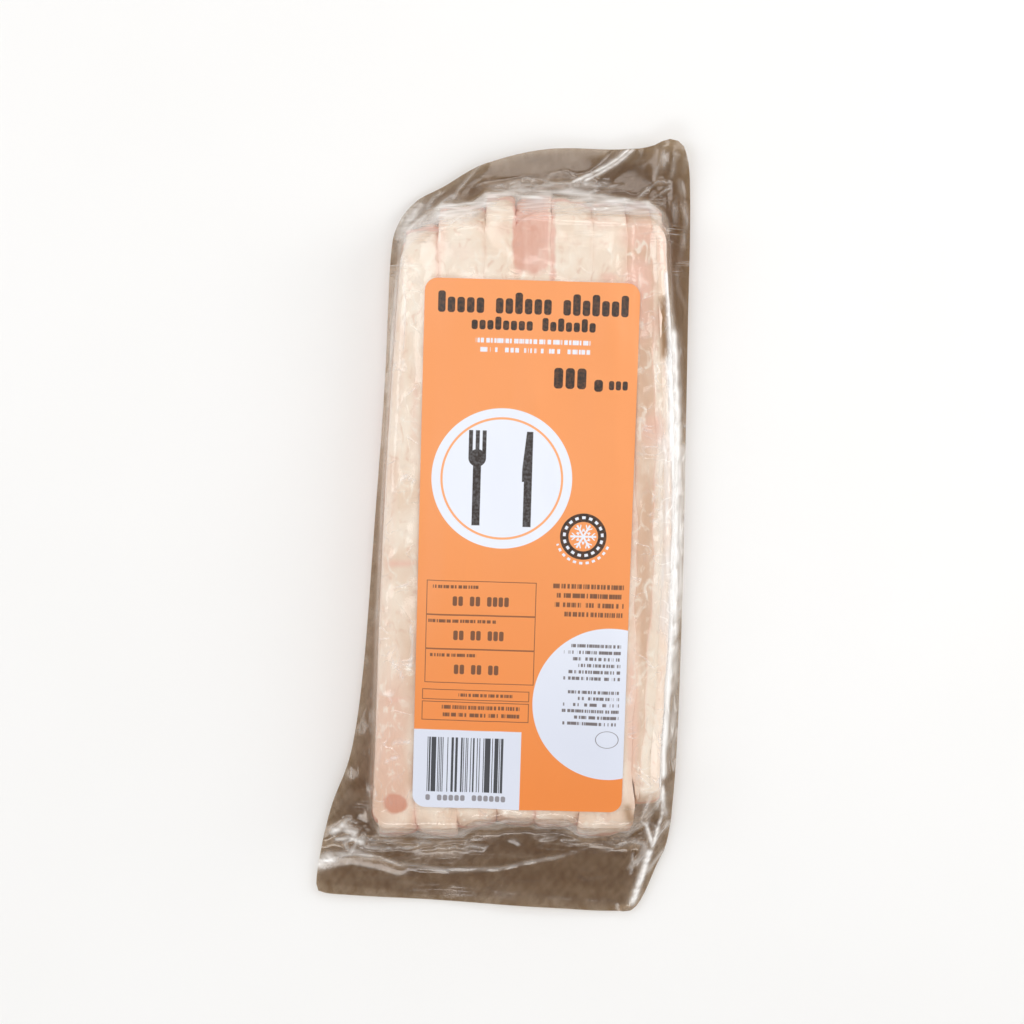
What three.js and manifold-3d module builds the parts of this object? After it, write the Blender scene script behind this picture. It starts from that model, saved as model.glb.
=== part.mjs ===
// A vacuum pack of sliced pork belly, lying on its back with the label up.
//
// Eight thick slices stand on edge side by side, fat edge up, and make a block about 240 mm long.
// Two webs of film close round the block and meet in a flat margin: narrow along both long sides,
// wide at the head and at the foot. A sticker lies over the middle of the block.
//
// Units are millimetres. X runs across the slices, Y along them towards the head of the label, and
// Z up. The origin is on the surface that the pack lies on, under the middle of its outline.

import * as THREE from "three";
import { mergeVertices } from "three/addons/utils/BufferGeometryUtils.js";
import Module from "manifold-3d";

// ---- Driving dimensions -------------------------------------------------------------------------

const BLOCK_HEIGHT = 28.6; // the middle slices, with their film
const HEAD_Y = 115; // the line across the block where the slices' head widths are taken
const FOOT_Y = -88; // the line where their foot widths are taken
const HEAD_LEFT_X = -38.7; // the block's left edge on the head line
const FOOT_LEFT_X = -50.8; // the block's left edge on the foot line
const SPLAY_ENDS = [-0.2, 1.1]; // the slices splay this far past the foot and head lines
const LEFT_BOW = -1.3; // how far the left edge swells between the two lines
const RIGHT_BOW = 4; // the same on the right

const GROOVE_DEPTH = 0.9; // the film dips this far between two slices
const CROWN_POWER = 4; // how flat a slice's upper edge is across its width

const FILM_THICKNESS = 1.0; // the flat margin, both webs together, thickened to a sturdy solid
const PLAN_CORNER = 7; // the block's corners, seen from above
const SHOULDER = 4; // radius where the film leaves the top of the block
const UNDER_SHOULDER = 2.5; // radius where it turns in under the block
const SIDE_SLOPE = 82; // degrees: the film clings to the long sides
const END_SLOPE = 62; // degrees: it spans from the slices' ends down to the margin
const MARGIN_ROOT_Z = 9.5; // the margin's middle where it leaves the block
const MARGIN_RIM_Z = 2.4; // the margin's middle at its outer edge
const MARGIN_DROOP = 11; // the distance over which it sinks
const MARGIN_LOOSE = 9; // the distance over which it becomes free to wave
const MARGIN_BLEND = 3; // the soft inner corner between wall and margin
const MARGIN_CLEARANCE = 0.5; // above the surface that the pack lies on

const LABEL_WIDTH = 85;
const LABEL_LENGTH = 213;
const LABEL_CORNER = 5;
const LABEL_THICKNESS = 0.4;
const LABEL_GAP = 0.35; // clear of the film below it
const LABEL_SAG = 0.3; // the share of a groove that the sticker follows
const LABEL_X = 10.3;
const LABEL_Y = -2.7;
const LABEL_TURN = -1.7; // degrees: its head leans to the right

// The slices from left to right: width on the head line and on the foot line, where each ends at
// the head and at the foot, and how far its fat edge stands above or below the block's height.
const SLICES = [
  { head: 14.5, foot: 17.3, headEnd: 119, footEnd: -118.5, lift: -0.9 },
  { head: 18.8, foot: 17.7, headEnd: 127, footEnd: -118.5, lift: 0.2 },
  { head: 11.4, foot: 15.1, headEnd: 131.5, footEnd: -115, lift: -0.2 },
  { head: 14.5, foot: 16.1, headEnd: 130.5, footEnd: -113.7, lift: 0.3 },
  { head: 16.5, foot: 17.7, headEnd: 129.5, footEnd: -114.5, lift: 0.0 },
  { head: 13.3, foot: 21.0, headEnd: 129, footEnd: -118.5, lift: 0.3 },
  { head: 9.8, foot: 3.5, headEnd: 128.5, footEnd: -106, lift: -1.2 },
  { head: 6.3, foot: 8.5, headEnd: 126, footEnd: -105, lift: -0.6 },
];
const SLICE_WAVES = [
  { rise: 0.35, along: 145, phase: 2.1 },
  { rise: 0.2, along: 60, phase: 4.7 },
]; // a slice's fat edge rises and falls along it, each slice at a phase of its own
const END_TAPER = 0.75; // how steeply the film falls back from a long slice to a shorter neighbour
const END_BLEND = 2; // the soft inner corner where two such slopes meet

// The outer edge of the margin, counter-clockwise from the left foot corner. The corners are round.
const OUTLINE = [
  [-78.1, -149], [-75.5, -152.7], [-64, -154], [-25, -156.7], [22, -159.6], [47, -161.2],
  [58, -158.8], [66.5, -141], [71.5, -127.5], [74, -97], [75.6, -49], [76.5, 13], [77.1, 79],
  [77.8, 136], [75.4, 157], [69, 161.6], [62, 159], [51, 157.8], [20, 158], [-6, 152], [-23, 142.8],
  [-34, 137], [-41.4, 127.3], [-44.3, 113], [-47.1, 61], [-52, 1], [-56.7, -54], [-62.4, -91],
  [-70.8, -114], [-75.6, -133],
];
const OUTLINE_STEPS = 110;

// The larger folds of the margin: ridges along a path, each with its half width and its height.
const FOLDS = [
  // the swell along the foot margin
  { path: [[-69, -134], [-50, -132], [-21, -141], [21, -139], [42, -130]], half: 5, rise: 2.1 },
  // the crease across the head margin, which turns up to its edge
  { path: [[-8, 140], [20, 142], [38, 144], [53, 158]], half: 3.2, rise: 1.8 },
  // the folded head corner on the left
  { path: [[-22, 135], [-7, 152]], half: 3, rise: 1.4 },
  // two folds along the right side, up to the raised corner
  { path: [[66.5, 158], [69, 119], [72, 61]], half: 2.6, rise: 1.6 },
  { path: [[73.5, 154], [74, 97], [74, 31]], half: 2.4, rise: 1 },
  // the film gathered at the right foot corner
  { path: [[60, -111], [64, -131], [55, -158]], half: 3.4, rise: 2.4 },
  { path: [[70, -109], [64, -131]], half: 2.8, rise: 1.9 },
  { path: [[42, -128], [64, -131], [72, -120]], half: 2.8, rise: 1.3 },
  // and at the left foot corner
  { path: [[-74, -129], [-66, -125], [-55, -127]], half: 3, rise: 1.9 },
  { path: [[-62, -103], [-60, -117], [-66, -129]], half: 3, rise: 1.3 },
];
const MARGIN_WAVES = [
  { rise: 0.8, across: 82, along: 0, phase: 0.6 },
  { rise: 0.5, across: 250, along: 75, phase: 0 },
]; // wave lengths across and along the pack, 0 for none
const CORNER_LIFT = { x: 71, y: 159, reach: 15, rise: 4.5 }; // the head corner that curls up

// ---- Small helpers ------------------------------------------------------------------------------

const radians = THREE.MathUtils.degToRad;
const lerp = THREE.MathUtils.lerp;
const clamp = THREE.MathUtils.clamp;
const smoothstep = THREE.MathUtils.smoothstep;
const TURN = 2 * Math.PI;

const sumOf = (items, term) => items.reduce((sum, item) => sum + term(item), 0);

/** The larger of two heights, with the corner between them rounded over a band of 2 * soft. */
function softMax(a, b, soft) {
  const overlap = Math.max(soft - Math.abs(a - b), 0) / soft;
  return Math.max(a, b) + (overlap * overlap * soft) / 4;
}

const softMin = (a, b, soft) => -softMax(-a, -b, soft);

/** A bell-shaped swell: 1 in its middle, and nearly gone at 2. */
const bell = (t) => Math.exp(-t * t);

/** Distance from a point to a path of straight stretches. */
function distanceToPath(x, y, path) {
  let nearest = Infinity;
  for (let i = 1; i < path.length; i++) {
    const [ax, ay] = path[i - 1];
    const [dx, dy] = [path[i][0] - ax, path[i][1] - ay];
    const along = clamp(((x - ax) * dx + (y - ay) * dy) / (dx * dx + dy * dy), 0, 1);
    nearest = Math.min(nearest, Math.hypot(x - ax - along * dx, y - ay - along * dy));
  }
  return nearest;
}

// ---- The block of slices ------------------------------------------------------------------------

const HEAD_EDGES = SLICES.reduce((xs, s) => [...xs, xs.at(-1) + s.head], [HEAD_LEFT_X]);
const FOOT_EDGES = SLICES.reduce((xs, s) => [...xs, xs.at(-1) + s.foot], [FOOT_LEFT_X]);

/** X of the seam left of slice i, or of the block's right side for i = SLICES.length. */
function seamX(i, y) {
  const along = clamp((y - FOOT_Y) / (HEAD_Y - FOOT_Y), ...SPLAY_ENDS);
  const bow = lerp(LEFT_BOW, RIGHT_BOW, i / SLICES.length);
  return lerp(FOOT_EDGES[i], HEAD_EDGES[i], along) + bow * Math.sin(Math.PI * clamp(along, 0, 1));
}

const leftSide = (y) => seamX(0, y);
const rightSide = (y) => seamX(SLICES.length, y);

/** Y where the film leaves the slices' ends: it is taut from the longest slices to the others. */
function endY(x, key, seamLine) {
  const sign = key === "headEnd" ? 1 : -1;
  let reach = -Infinity;
  SLICES.forEach((slice, i) => {
    const beside = Math.max(seamX(i, seamLine) - x, x - seamX(i + 1, seamLine), 0);
    reach = softMax(reach, sign * slice[key] - END_TAPER * beside, END_BLEND);
  });
  return sign * reach;
}

const headEnd = (x) => endY(x, "headEnd", HEAD_Y);
const footEnd = (x) => endY(x, "footEnd", FOOT_Y);

/** Height of the film on top of the slices, with the grooves between them as deep as asked. */
function topOfSlices(x, y, groove) {
  const inside = clamp(x, leftSide(y), rightSide(y));
  let i = 0;
  while (i < SLICES.length - 1 && inside > seamX(i + 1, y)) i++;
  const [from, to] = [seamX(i, y), seamX(i + 1, y)];
  const across = (inside - (from + to) / 2) / ((to - from) / 2);
  const wander = sumOf(SLICE_WAVES, (w) => w.rise * Math.sin((TURN * y) / w.along + w.phase * i));
  const beside = clamp(i + Math.sign(across), 0, SLICES.length - 1);
  const shared = lerp(SLICES[i].lift, SLICES[beside].lift, 0.5);
  const lift = lerp(SLICES[i].lift, shared, smoothstep(Math.abs(across), 0.4, 1));
  const dip = i + Math.sign(across) === beside ? groove : 0;
  return BLOCK_HEIGHT + lift + wander * (1 - across * across) - dip * Math.abs(across) ** CROWN_POWER;
}

/** How far a point lies outside the block, and the film's slope there in degrees. */
function fromBlock(x, y) {
  const beside = Math.max(leftSide(y) - x, x - rightSide(y)) + PLAN_CORNER;
  const beyond = Math.max(y - headEnd(x), footEnd(x) - y) + PLAN_CORNER;
  const [out, on] = [Math.max(beside, 0), Math.max(beyond, 0)];
  const distance = Math.hypot(out, on) + Math.min(Math.max(beside, beyond), 0) - PLAN_CORNER;
  const turned = Math.atan2(on, out) / (Math.PI / 2);
  return { distance, slope: lerp(SIDE_SLOPE, END_SLOPE, smoothstep(turned, 0.15, 0.85)) };
}

// ---- The film -----------------------------------------------------------------------------------

/** Fall of the film below its flat part: round over the shoulder, then straight down its slope. */
function fall(distance, slope, radius) {
  const start = -radius; // the arc begins this far inside the block
  const end = start + radius * Math.sin(radians(slope));
  if (distance <= start) return 0;
  if (distance <= end) return radius - Math.sqrt(radius ** 2 - (distance - start) ** 2);
  return radius * (1 - Math.cos(radians(slope))) + Math.tan(radians(slope)) * (distance - end);
}

/** Height of the middle of the flat margin, with its waves and folds. */
function marginZ(x, y, distance) {
  const outside = Math.max(distance, 0);
  const loose = 1 - Math.exp(-outside / MARGIN_LOOSE);
  const sink = lerp(MARGIN_ROOT_Z, MARGIN_RIM_Z, 1 - Math.exp(-outside / MARGIN_DROOP));
  const turns = (w) => x / w.across + (w.along ? y / w.along : 0);
  const waves = sumOf(MARGIN_WAVES, (w) => w.rise * Math.sin(TURN * turns(w) + w.phase));
  const curl = CORNER_LIFT.rise * bell(Math.hypot(x - CORNER_LIFT.x, y - CORNER_LIFT.y) / CORNER_LIFT.reach);
  const folds = sumOf(FOLDS, (fold) => fold.rise * bell(distanceToPath(x, y, fold.path) / fold.half));
  const middle = sink + loose * (waves + curl + folds);
  return Math.max(middle, MARGIN_CLEARANCE + FILM_THICKNESS / 2);
}

function filmTop(x, y) {
  const { distance, slope } = fromBlock(x, y);
  const wall = topOfSlices(x, y, GROOVE_DEPTH) - fall(distance, slope, SHOULDER);
  return softMax(wall, marginZ(x, y, distance) + FILM_THICKNESS / 2, MARGIN_BLEND);
}

function filmUnderside(x, y) {
  const { distance, slope } = fromBlock(x, y);
  const wall = fall(distance, slope, UNDER_SHOULDER);
  if (wall === 0) return 0; // flat where the block rests
  return Math.max(softMin(wall, marginZ(x, y, distance) - FILM_THICKNESS / 2, MARGIN_BLEND), 0);
}

// ---- Meshes -------------------------------------------------------------------------------------

const wasm = await Module();
wasm.setup();

/** A closed solid between two heights over a grid of points in plan. */
function solidBetween(grid, topZ, undersideZ) {
  const [rows, columns] = [grid.length, grid[0].length];
  const layer = rows * columns;
  const points = [topZ, undersideZ].flatMap((z) => grid.flat().flatMap(([x, y]) => [x, y, z(x, y)]));
  const faces = [];
  const quad = (a, b, c, d) => faces.push(a, b, c, a, c, d);
  for (let r = 0; r < rows - 1; r++)
    for (let c = 0; c < columns - 1; c++) {
      const a = r * columns + c;
      const corners = [a, a + 1, a + columns + 1, a + columns];
      quad(...corners);
      quad(...corners.map((k) => k + layer).reverse());
    }
  const rim = [
    ...Array.from({ length: columns - 1 }, (_, c) => c),
    ...Array.from({ length: rows - 1 }, (_, r) => r * columns + columns - 1),
    ...Array.from({ length: columns - 1 }, (_, c) => layer - 1 - c),
    ...Array.from({ length: rows - 1 }, (_, r) => (rows - 1 - r) * columns),
  ];
  rim.forEach((a, k) => {
    const b = rim[(k + 1) % rim.length];
    quad(a, a + layer, b + layer, b);
  });
  const vertProperties = new Float32Array(points);
  const triVerts = new Uint32Array(faces);
  return new wasm.Manifold(new wasm.Mesh({ numProp: 3, vertProperties, triVerts }));
}

/** A closed geometry as a solid that can be cut. */
function solidOf(geometry) {
  geometry.deleteAttribute("normal");
  geometry.deleteAttribute("uv");
  const merged = mergeVertices(geometry, 1e-4);
  const vertProperties = new Float32Array(merged.attributes.position.array);
  const triVerts = new Uint32Array(merged.index.array);
  return new wasm.Manifold(new wasm.Mesh({ numProp: 3, vertProperties, triVerts }));
}

/** A prism of an outline, taller than the pack, which trims a sheet to its edge. */
function cutter(outline) {
  const depth = 2 * BLOCK_HEIGHT;
  const geometry = new THREE.ExtrudeGeometry(new THREE.Shape(outline), { depth, bevelEnabled: false });
  return solidOf(geometry.translate(0, 0, -depth / 4));
}

function meshOf(solid, name, material) {
  const { vertProperties, triVerts } = solid.getMesh();
  const geometry = new THREE.BufferGeometry()
    .setAttribute("position", new THREE.BufferAttribute(vertProperties, 3))
    .setIndex(new THREE.BufferAttribute(triVerts, 1));
  geometry.computeVertexNormals();
  const mesh = new THREE.Mesh(geometry, material);
  mesh.name = name;
  return mesh;
}

// ---- The pouch ----------------------------------------------------------------------------------

const GRID_HALF_WIDTH = 82; // the grid starts just outside the outline that it is cut to
const GRID_HALF_LENGTH = 165;
const SIDE_WALL_LINES = [-3.4, -1.8, -0.5, 0.8, 2.4, 4.2]; // inwards from the edge of the block
const END_WALL_LINES = [-15, -11.5, -8, -4.5, -1.2, 1.4, 4.4];
const SLICE_LINES = [0.2, 0.5, 0.8, 1]; // shares of a slice's width
const SIDE_MARGIN_STEPS = { left: 5, right: 4 };
const END_MARGIN_STEPS = { foot: 7, head: 6 };
const LENGTH_STEPS = 27;

const steps = (count) => Array.from({ length: count }, (_, k) => k / count);

/** Lines that run along the pack, each as X for a given Y: close together on the walls. */
function pouchColumns() {
  const [outermost, innermost] = [SIDE_WALL_LINES[0] - 1.5, SIDE_WALL_LINES.at(-1) + 0.6];
  const leftOf = (t) => (y) => lerp(-GRID_HALF_WIDTH, leftSide(y) + outermost, t);
  const rightOf = (t) => (y) => lerp(GRID_HALF_WIDTH, rightSide(y) - outermost, t);
  const left = steps(SIDE_MARGIN_STEPS.left).map(leftOf);
  const right = steps(SIDE_MARGIN_STEPS.right).map(rightOf);
  const leftWall = SIDE_WALL_LINES.map((d) => (y) => leftSide(y) + d);
  const rightWall = SIDE_WALL_LINES.map((d) => (y) => rightSide(y) - d);
  const clearOfWalls = (line) =>
    [HEAD_Y, FOOT_Y].every((y) => line(y) > leftSide(y) + innermost && line(y) < rightSide(y) - innermost);
  const within = (i) => SLICE_LINES.map((t) => (y) => lerp(seamX(i, y), seamX(i + 1, y), t));
  const across = SLICES.flatMap((_, i) => within(i));
  return [...left, ...leftWall, ...across.filter(clearOfWalls), ...rightWall.reverse(), ...right.reverse()];
}

/** Lines that run across the pack, each as Y for a given X. */
function pouchRows() {
  const [outermost, innermost] = [END_WALL_LINES[0] - 2, END_WALL_LINES.at(-1)];
  const belowFoot = (t) => (x) => lerp(-GRID_HALF_LENGTH, footEnd(x) + outermost, t);
  const aboveHead = (t) => (x) => lerp(GRID_HALF_LENGTH, headEnd(x) - outermost, t);
  const foot = steps(END_MARGIN_STEPS.foot).map(belowFoot);
  const head = steps(END_MARGIN_STEPS.head).map(aboveHead);
  const footWall = END_WALL_LINES.map((d) => (x) => footEnd(x) + d);
  const headWall = END_WALL_LINES.map((d) => (x) => headEnd(x) - d);
  const between = (t) => (x) => lerp(footEnd(x) + innermost, headEnd(x) - innermost, t);
  const along = steps(LENGTH_STEPS).slice(1).map(between);
  return [...foot, ...footWall, ...along, ...headWall.reverse(), ...head.reverse()];
}

/** Where a line along the pack meets a line across it: each bends with the other, so it is refined. */
function crossing(column, row) {
  let y = row(0);
  for (let pass = 0; pass < 4; pass++) y = row(column(y));
  return [column(y), y];
}

function makePouch() {
  const columns = pouchColumns();
  const grid = pouchRows().map((row) => columns.map((column) => crossing(column, row)));
  const corners = OUTLINE.map(([x, y]) => new THREE.Vector3(x, y, 0));
  const rim = new THREE.CatmullRomCurve3(corners, true, "centripetal");
  const outline = rim.getSpacedPoints(OUTLINE_STEPS).slice(0, -1).map((p) => new THREE.Vector2(p.x, p.y));
  const material = new THREE.MeshStandardMaterial({ color: 0xf3e2d0, roughness: 0.25, metalness: 0 });
  return meshOf(solidBetween(grid, filmTop, filmUnderside).intersect(cutter(outline)), "pouch", material);
}

// ---- The label ----------------------------------------------------------------------------------

const LABEL_GRID = { along: 23, across: 16, overhang: 1 };
const LABEL_CORNER_STEPS = 4;

/** A point of the sticker, given from its middle, where it lies on the pack. */
function onLabel(u, v) {
  const turn = radians(LABEL_TURN);
  return [
    LABEL_X + u * Math.cos(turn) - v * Math.sin(turn),
    LABEL_Y + u * Math.sin(turn) + v * Math.cos(turn),
  ];
}

/** The sticker's outline: a rectangle with round corners, counter-clockwise. */
function labelOutline() {
  const corners = [[1, -1], [1, 1], [-1, 1], [-1, -1]];
  const quarter = steps(LABEL_CORNER_STEPS).concat(1);
  return corners.flatMap(([right, up], k) =>
    quarter.map((t) => {
      const angle = radians(90 * (k - 1 + t));
      const u = right * (LABEL_WIDTH / 2 - LABEL_CORNER) + LABEL_CORNER * Math.cos(angle);
      const v = up * (LABEL_LENGTH / 2 - LABEL_CORNER) + LABEL_CORNER * Math.sin(angle);
      return new THREE.Vector2(...onLabel(u, v));
    }),
  );
}

function makeLabel() {
  const halfWidth = LABEL_WIDTH / 2 + LABEL_GRID.overhang;
  const halfLength = LABEL_LENGTH / 2 + LABEL_GRID.overhang;
  const us = steps(LABEL_GRID.across).concat(1).map((t) => lerp(-halfWidth, halfWidth, t));
  const vs = steps(LABEL_GRID.along).concat(1).map((t) => lerp(-halfLength, halfLength, t));
  const grid = vs.map((v) => us.map((u) => onLabel(u, v)));
  const underside = (x, y) => topOfSlices(x, y, GROOVE_DEPTH * LABEL_SAG) + LABEL_GAP;
  const face = (x, y) => underside(x, y) + LABEL_THICKNESS;
  const material = new THREE.MeshStandardMaterial({ color: 0xf9a668, roughness: 0.5, metalness: 0 });
  return meshOf(solidBetween(grid, face, underside).intersect(cutter(labelOutline())), "label", material);
}

// ---- The pack -----------------------------------------------------------------------------------

const pack = new THREE.Group();
pack.add(makePouch(), makeLabel());

export default pack;
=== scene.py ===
# A vacuum pack of sliced pork belly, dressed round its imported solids: eight thick slices in a
# clear bag, with a long sticker on top. Shapes are worked out in millimetres, in the solids' frame,
# and become metres when a mesh is made.

import math

import bpy
import numpy as np
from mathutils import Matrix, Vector


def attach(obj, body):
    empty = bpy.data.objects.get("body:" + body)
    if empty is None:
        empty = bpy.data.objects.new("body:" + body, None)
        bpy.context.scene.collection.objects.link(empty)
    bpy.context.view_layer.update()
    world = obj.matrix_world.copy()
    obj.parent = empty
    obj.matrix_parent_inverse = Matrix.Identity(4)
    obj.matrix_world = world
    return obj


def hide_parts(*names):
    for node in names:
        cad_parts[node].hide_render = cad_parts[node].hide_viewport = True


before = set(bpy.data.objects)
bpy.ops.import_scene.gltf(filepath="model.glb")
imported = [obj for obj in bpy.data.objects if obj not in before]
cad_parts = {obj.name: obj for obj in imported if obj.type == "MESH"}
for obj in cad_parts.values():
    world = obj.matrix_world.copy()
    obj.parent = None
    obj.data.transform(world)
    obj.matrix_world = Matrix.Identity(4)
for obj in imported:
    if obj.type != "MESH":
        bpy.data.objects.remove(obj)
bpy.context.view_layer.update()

# ---- Slices -------------------------------------------------------------------------------------
# Eight slices of rindless pork belly, cut across the belly and stood on edge with the fat side up.
# They are soft, so they press flat against each other, round off at their edges and splay a little
# towards the foot of the pack.

MM = 0.001
TURN = 2 * math.pi

BLOCK_HEIGHT = 28.6  # the middle slices with their film
HEAD_Y, FOOT_Y = 115.0, -88.0  # the lines across the block where the widths below are taken
HEAD_LEFT_X, FOOT_LEFT_X = -38.7, -50.8
SPLAY_ENDS = (-0.2, 1.1)  # the slices splay this far past the foot and head lines
LEFT_BOW, RIGHT_BOW = -1.3, 4.0  # how far the block's sides bow to the right between those lines
SEAM_DIPS = np.array((0, 0.7, 0.15, 0.25, 0.6, 0.15, 0.25, 0.35, 0))  # the groove over each seam
CROWN_POWER = 4  # how late a slice's top turns down into a groove
SLICE_WAVES = ((0.35, 145.0, 2.1), (0.2, 60.0, 4.7))  # rise, length and phase for each slice

# From left to right: width on the head line and on the foot line, where each ends at the head and
# at the foot, and how far its fat edge stands above or below the block's height.
SLICE_SIZES = np.array((
    (14.5, 17.3, 119.0, -118.5, -0.9),
    (18.8, 17.7, 127.0, -118.5, 0.2),
    (11.4, 15.1, 131.5, -115.0, -0.2),
    (14.5, 16.1, 130.5, -113.7, 0.3),
    (16.5, 17.7, 129.5, -114.5, 0.0),
    (13.3, 21.0, 129.0, -118.5, 0.3),
    (9.8, 3.5, 128.5, -106.0, -1.2),
    (6.3, 8.5, 126.0, -105.0, -0.6),
))
SLICE_COUNT = len(SLICE_SIZES)
SEAM_WAVES = ((0.45, 58.0, 2.3), (0.3, 23.0, 4.1))  # and as the cuts wander, in the same way
HEAD_WIDTHS, FOOT_WIDTHS, HEAD_ENDS, FOOT_ENDS, LIFTS = SLICE_SIZES.T
HEAD_EDGES = HEAD_LEFT_X + np.concatenate(([0.0], np.cumsum(HEAD_WIDTHS)))
FOOT_EDGES = FOOT_LEFT_X + np.concatenate(([0.0], np.cumsum(FOOT_WIDTHS)))


def smooth(value, low, high):
    """0 below low, 1 above high, and an even S between them."""
    t = np.clip((value - low) / (high - low), 0, 1)
    return t * t * (3 - 2 * t)


def uneven(points, size, seed):
    """Seeded unevenness about -1 to 1: waves about that size, in every direction."""
    rng = np.random.default_rng(seed)
    total = np.zeros(len(points))
    for _ in range(9):
        direction = rng.normal(size=points.shape[1])
        direction *= TURN / size * rng.uniform(0.6, 1.5) / np.linalg.norm(direction)
        total += np.sin(points @ direction + rng.uniform(0, TURN))
    return total / 3.2


def seam_x(i, y):
    """X of the seam left of slice i, or of the block's right side for the last i."""
    along = np.clip((y - FOOT_Y) / (HEAD_Y - FOOT_Y), *SPLAY_ENDS)
    bow = LEFT_BOW + (RIGHT_BOW - LEFT_BOW) * i / SLICE_COUNT
    straight = FOOT_EDGES[i] + (HEAD_EDGES[i] - FOOT_EDGES[i]) * along
    wander = sum(rise * np.sin(TURN * y / length + phase * i) for rise, length, phase in SEAM_WAVES)
    return straight + bow * np.sin(np.pi * np.clip(along, 0, 1)) + wander * (0 < i < SLICE_COUNT)


def crown(i, across, y, share):
    """Height of slice i's fat edge, with across from -1 to 1 over its width."""
    wander = sum(rise * np.sin(TURN * y / length + phase * i) for rise, length, phase in SLICE_WAVES)
    beside = np.clip(i + np.sign(across).astype(int), 0, SLICE_COUNT - 1)
    lift = LIFTS[i] + (LIFTS[beside] - LIFTS[i]) / 2 * smooth(np.abs(across), 0, 1)
    seam = i + (across > 0)
    closed = 0.7 + 0.3 * np.sin(TURN * y / 43.0 + 1.9 * seam) * np.sin(TURN * y / 97.0 + 0.7 * seam)
    dipped = share * SEAM_DIPS[seam] * closed * np.abs(across) ** CROWN_POWER
    return BLOCK_HEIGHT + lift + wander * (1 - across * across) - dipped


def relief(x, y):
    """The fat's own lumps, and the ridges across it, which the film follows."""
    plan = np.column_stack((x, y * 0.7))
    ridges = np.column_stack((x * 0.3, y + 0.3 * x))
    patches = smooth(uneven(plan, 30.0, 7), -0.1, 0.6)
    lumps = 0.22 * uneven(plan, 19.0, 3) + 0.06 * uneven(plan, 8.0, 5)
    return lumps + 0.11 * uneven(ridges, 4.5, 9) * patches


def grid_faces(ids):
    """The quads between a grid's points."""
    corners = (ids[:-1, :-1], ids[1:, :-1], ids[1:, 1:], ids[:-1, 1:])
    return np.stack(corners, axis=-1).reshape(-1, 4)


def box_shell(counts):
    """Points, from 0 to 1 each way, and outward quads of a closed box with that many cells."""
    ids = np.arange(np.prod([n + 1 for n in counts])).reshape([n + 1 for n in counts])
    sheets = (ids[:, :, -1], ids[:, :, 0].T, ids[-1], ids[0].T, ids[:, -1].T, ids[:, 0])
    used, faces = np.unique(np.concatenate([grid_faces(sheet) for sheet in sheets]), return_inverse=True)
    return np.column_stack(np.unravel_index(used, ids.shape)) / counts, faces.reshape(-1, 4)


def mesh_object(name, points, faces):
    """A smooth-shaded object from points in millimetres."""
    mesh = bpy.data.meshes.new(name)
    mesh.from_pydata((np.asarray(points) * MM).tolist(), [], np.asarray(faces).tolist())
    mesh.shade_smooth()
    mesh.update()
    made = bpy.data.objects.new(name, mesh)
    bpy.context.scene.collection.objects.link(made)
    return made


def set_field(piece, name, values):
    """Stores one number for each point, for the piece's material to read."""
    attribute = piece.data.attributes.new(name, "FLOAT", "POINT")
    attribute.data.foreach_set("value", np.asarray(values, np.float32))


def points_of(piece):
    """A piece's points in millimetres."""
    flat = np.zeros(len(piece.data.vertices) * 3, np.float32)
    piece.data.vertices.foreach_get("co", flat)
    return flat.reshape(-1, 3).astype(float) / MM


# How the film leaves the block, which is the room that the slices have.
PLAN_CORNER = 7.0  # the block's corners, seen from above
SHOULDER = 4.0  # radius where the film leaves the top of the block
UNDER_SHOULDER = 2.5  # and where it turns in under the block
SIDE_SLOPE, END_SLOPE = 82.0, 62.0  # degrees, on the long sides and at the ends
END_TAPER, END_BLEND = 0.75, 2.0  # how the film falls back from a long slice to a short one


def soft_max(a, b, soft):
    overlap = np.maximum(soft - np.abs(a - b), 0) / soft
    return np.maximum(a, b) + overlap * overlap * soft / 4


def soft_min(a, b, soft):
    return -soft_max(-a, -b, soft)


def end_y(x, ends, seam_line, sign):
    """Y where the film leaves the slices' ends: taut from the longest slices to the others."""
    reach = np.full(np.shape(x), -1e6)
    for i in range(SLICE_COUNT):
        left, right = seam_x(i, seam_line), seam_x(i + 1, seam_line)
        beside = np.maximum(np.maximum(left - x, x - right), 0)
        reach = soft_max(reach, sign * ends[i] - END_TAPER * beside, END_BLEND)
    return sign * reach


def head_end(x):
    return end_y(x, HEAD_ENDS, HEAD_Y, 1)


def foot_end(x):
    return end_y(x, FOOT_ENDS, FOOT_Y, -1)


def from_block(x, y):
    """How far a point lies outside the block, and the film's slope there in radians."""
    beside = np.maximum(seam_x(0, y) - x, x - seam_x(SLICE_COUNT, y)) + PLAN_CORNER
    beyond = np.maximum(y - head_end(x), foot_end(x) - y) + PLAN_CORNER
    out, on = np.maximum(beside, 0), np.maximum(beyond, 0)
    distance = np.hypot(out, on) + np.minimum(np.maximum(beside, beyond), 0) - PLAN_CORNER
    turned = smooth(np.arctan2(on, out) / (math.pi / 2), 0.15, 0.85)
    return distance, np.radians(SIDE_SLOPE + (END_SLOPE - SIDE_SLOPE) * turned)


def fall(distance, slope, radius):
    """Fall of the film below its flat part: round over the shoulder, then straight down."""
    arc = np.clip(distance + radius, 0, radius * np.sin(slope))
    straight = np.maximum(distance + radius - radius * np.sin(slope), 0)
    return radius - np.sqrt(radius**2 - arc**2) + np.tan(slope) * straight


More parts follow.
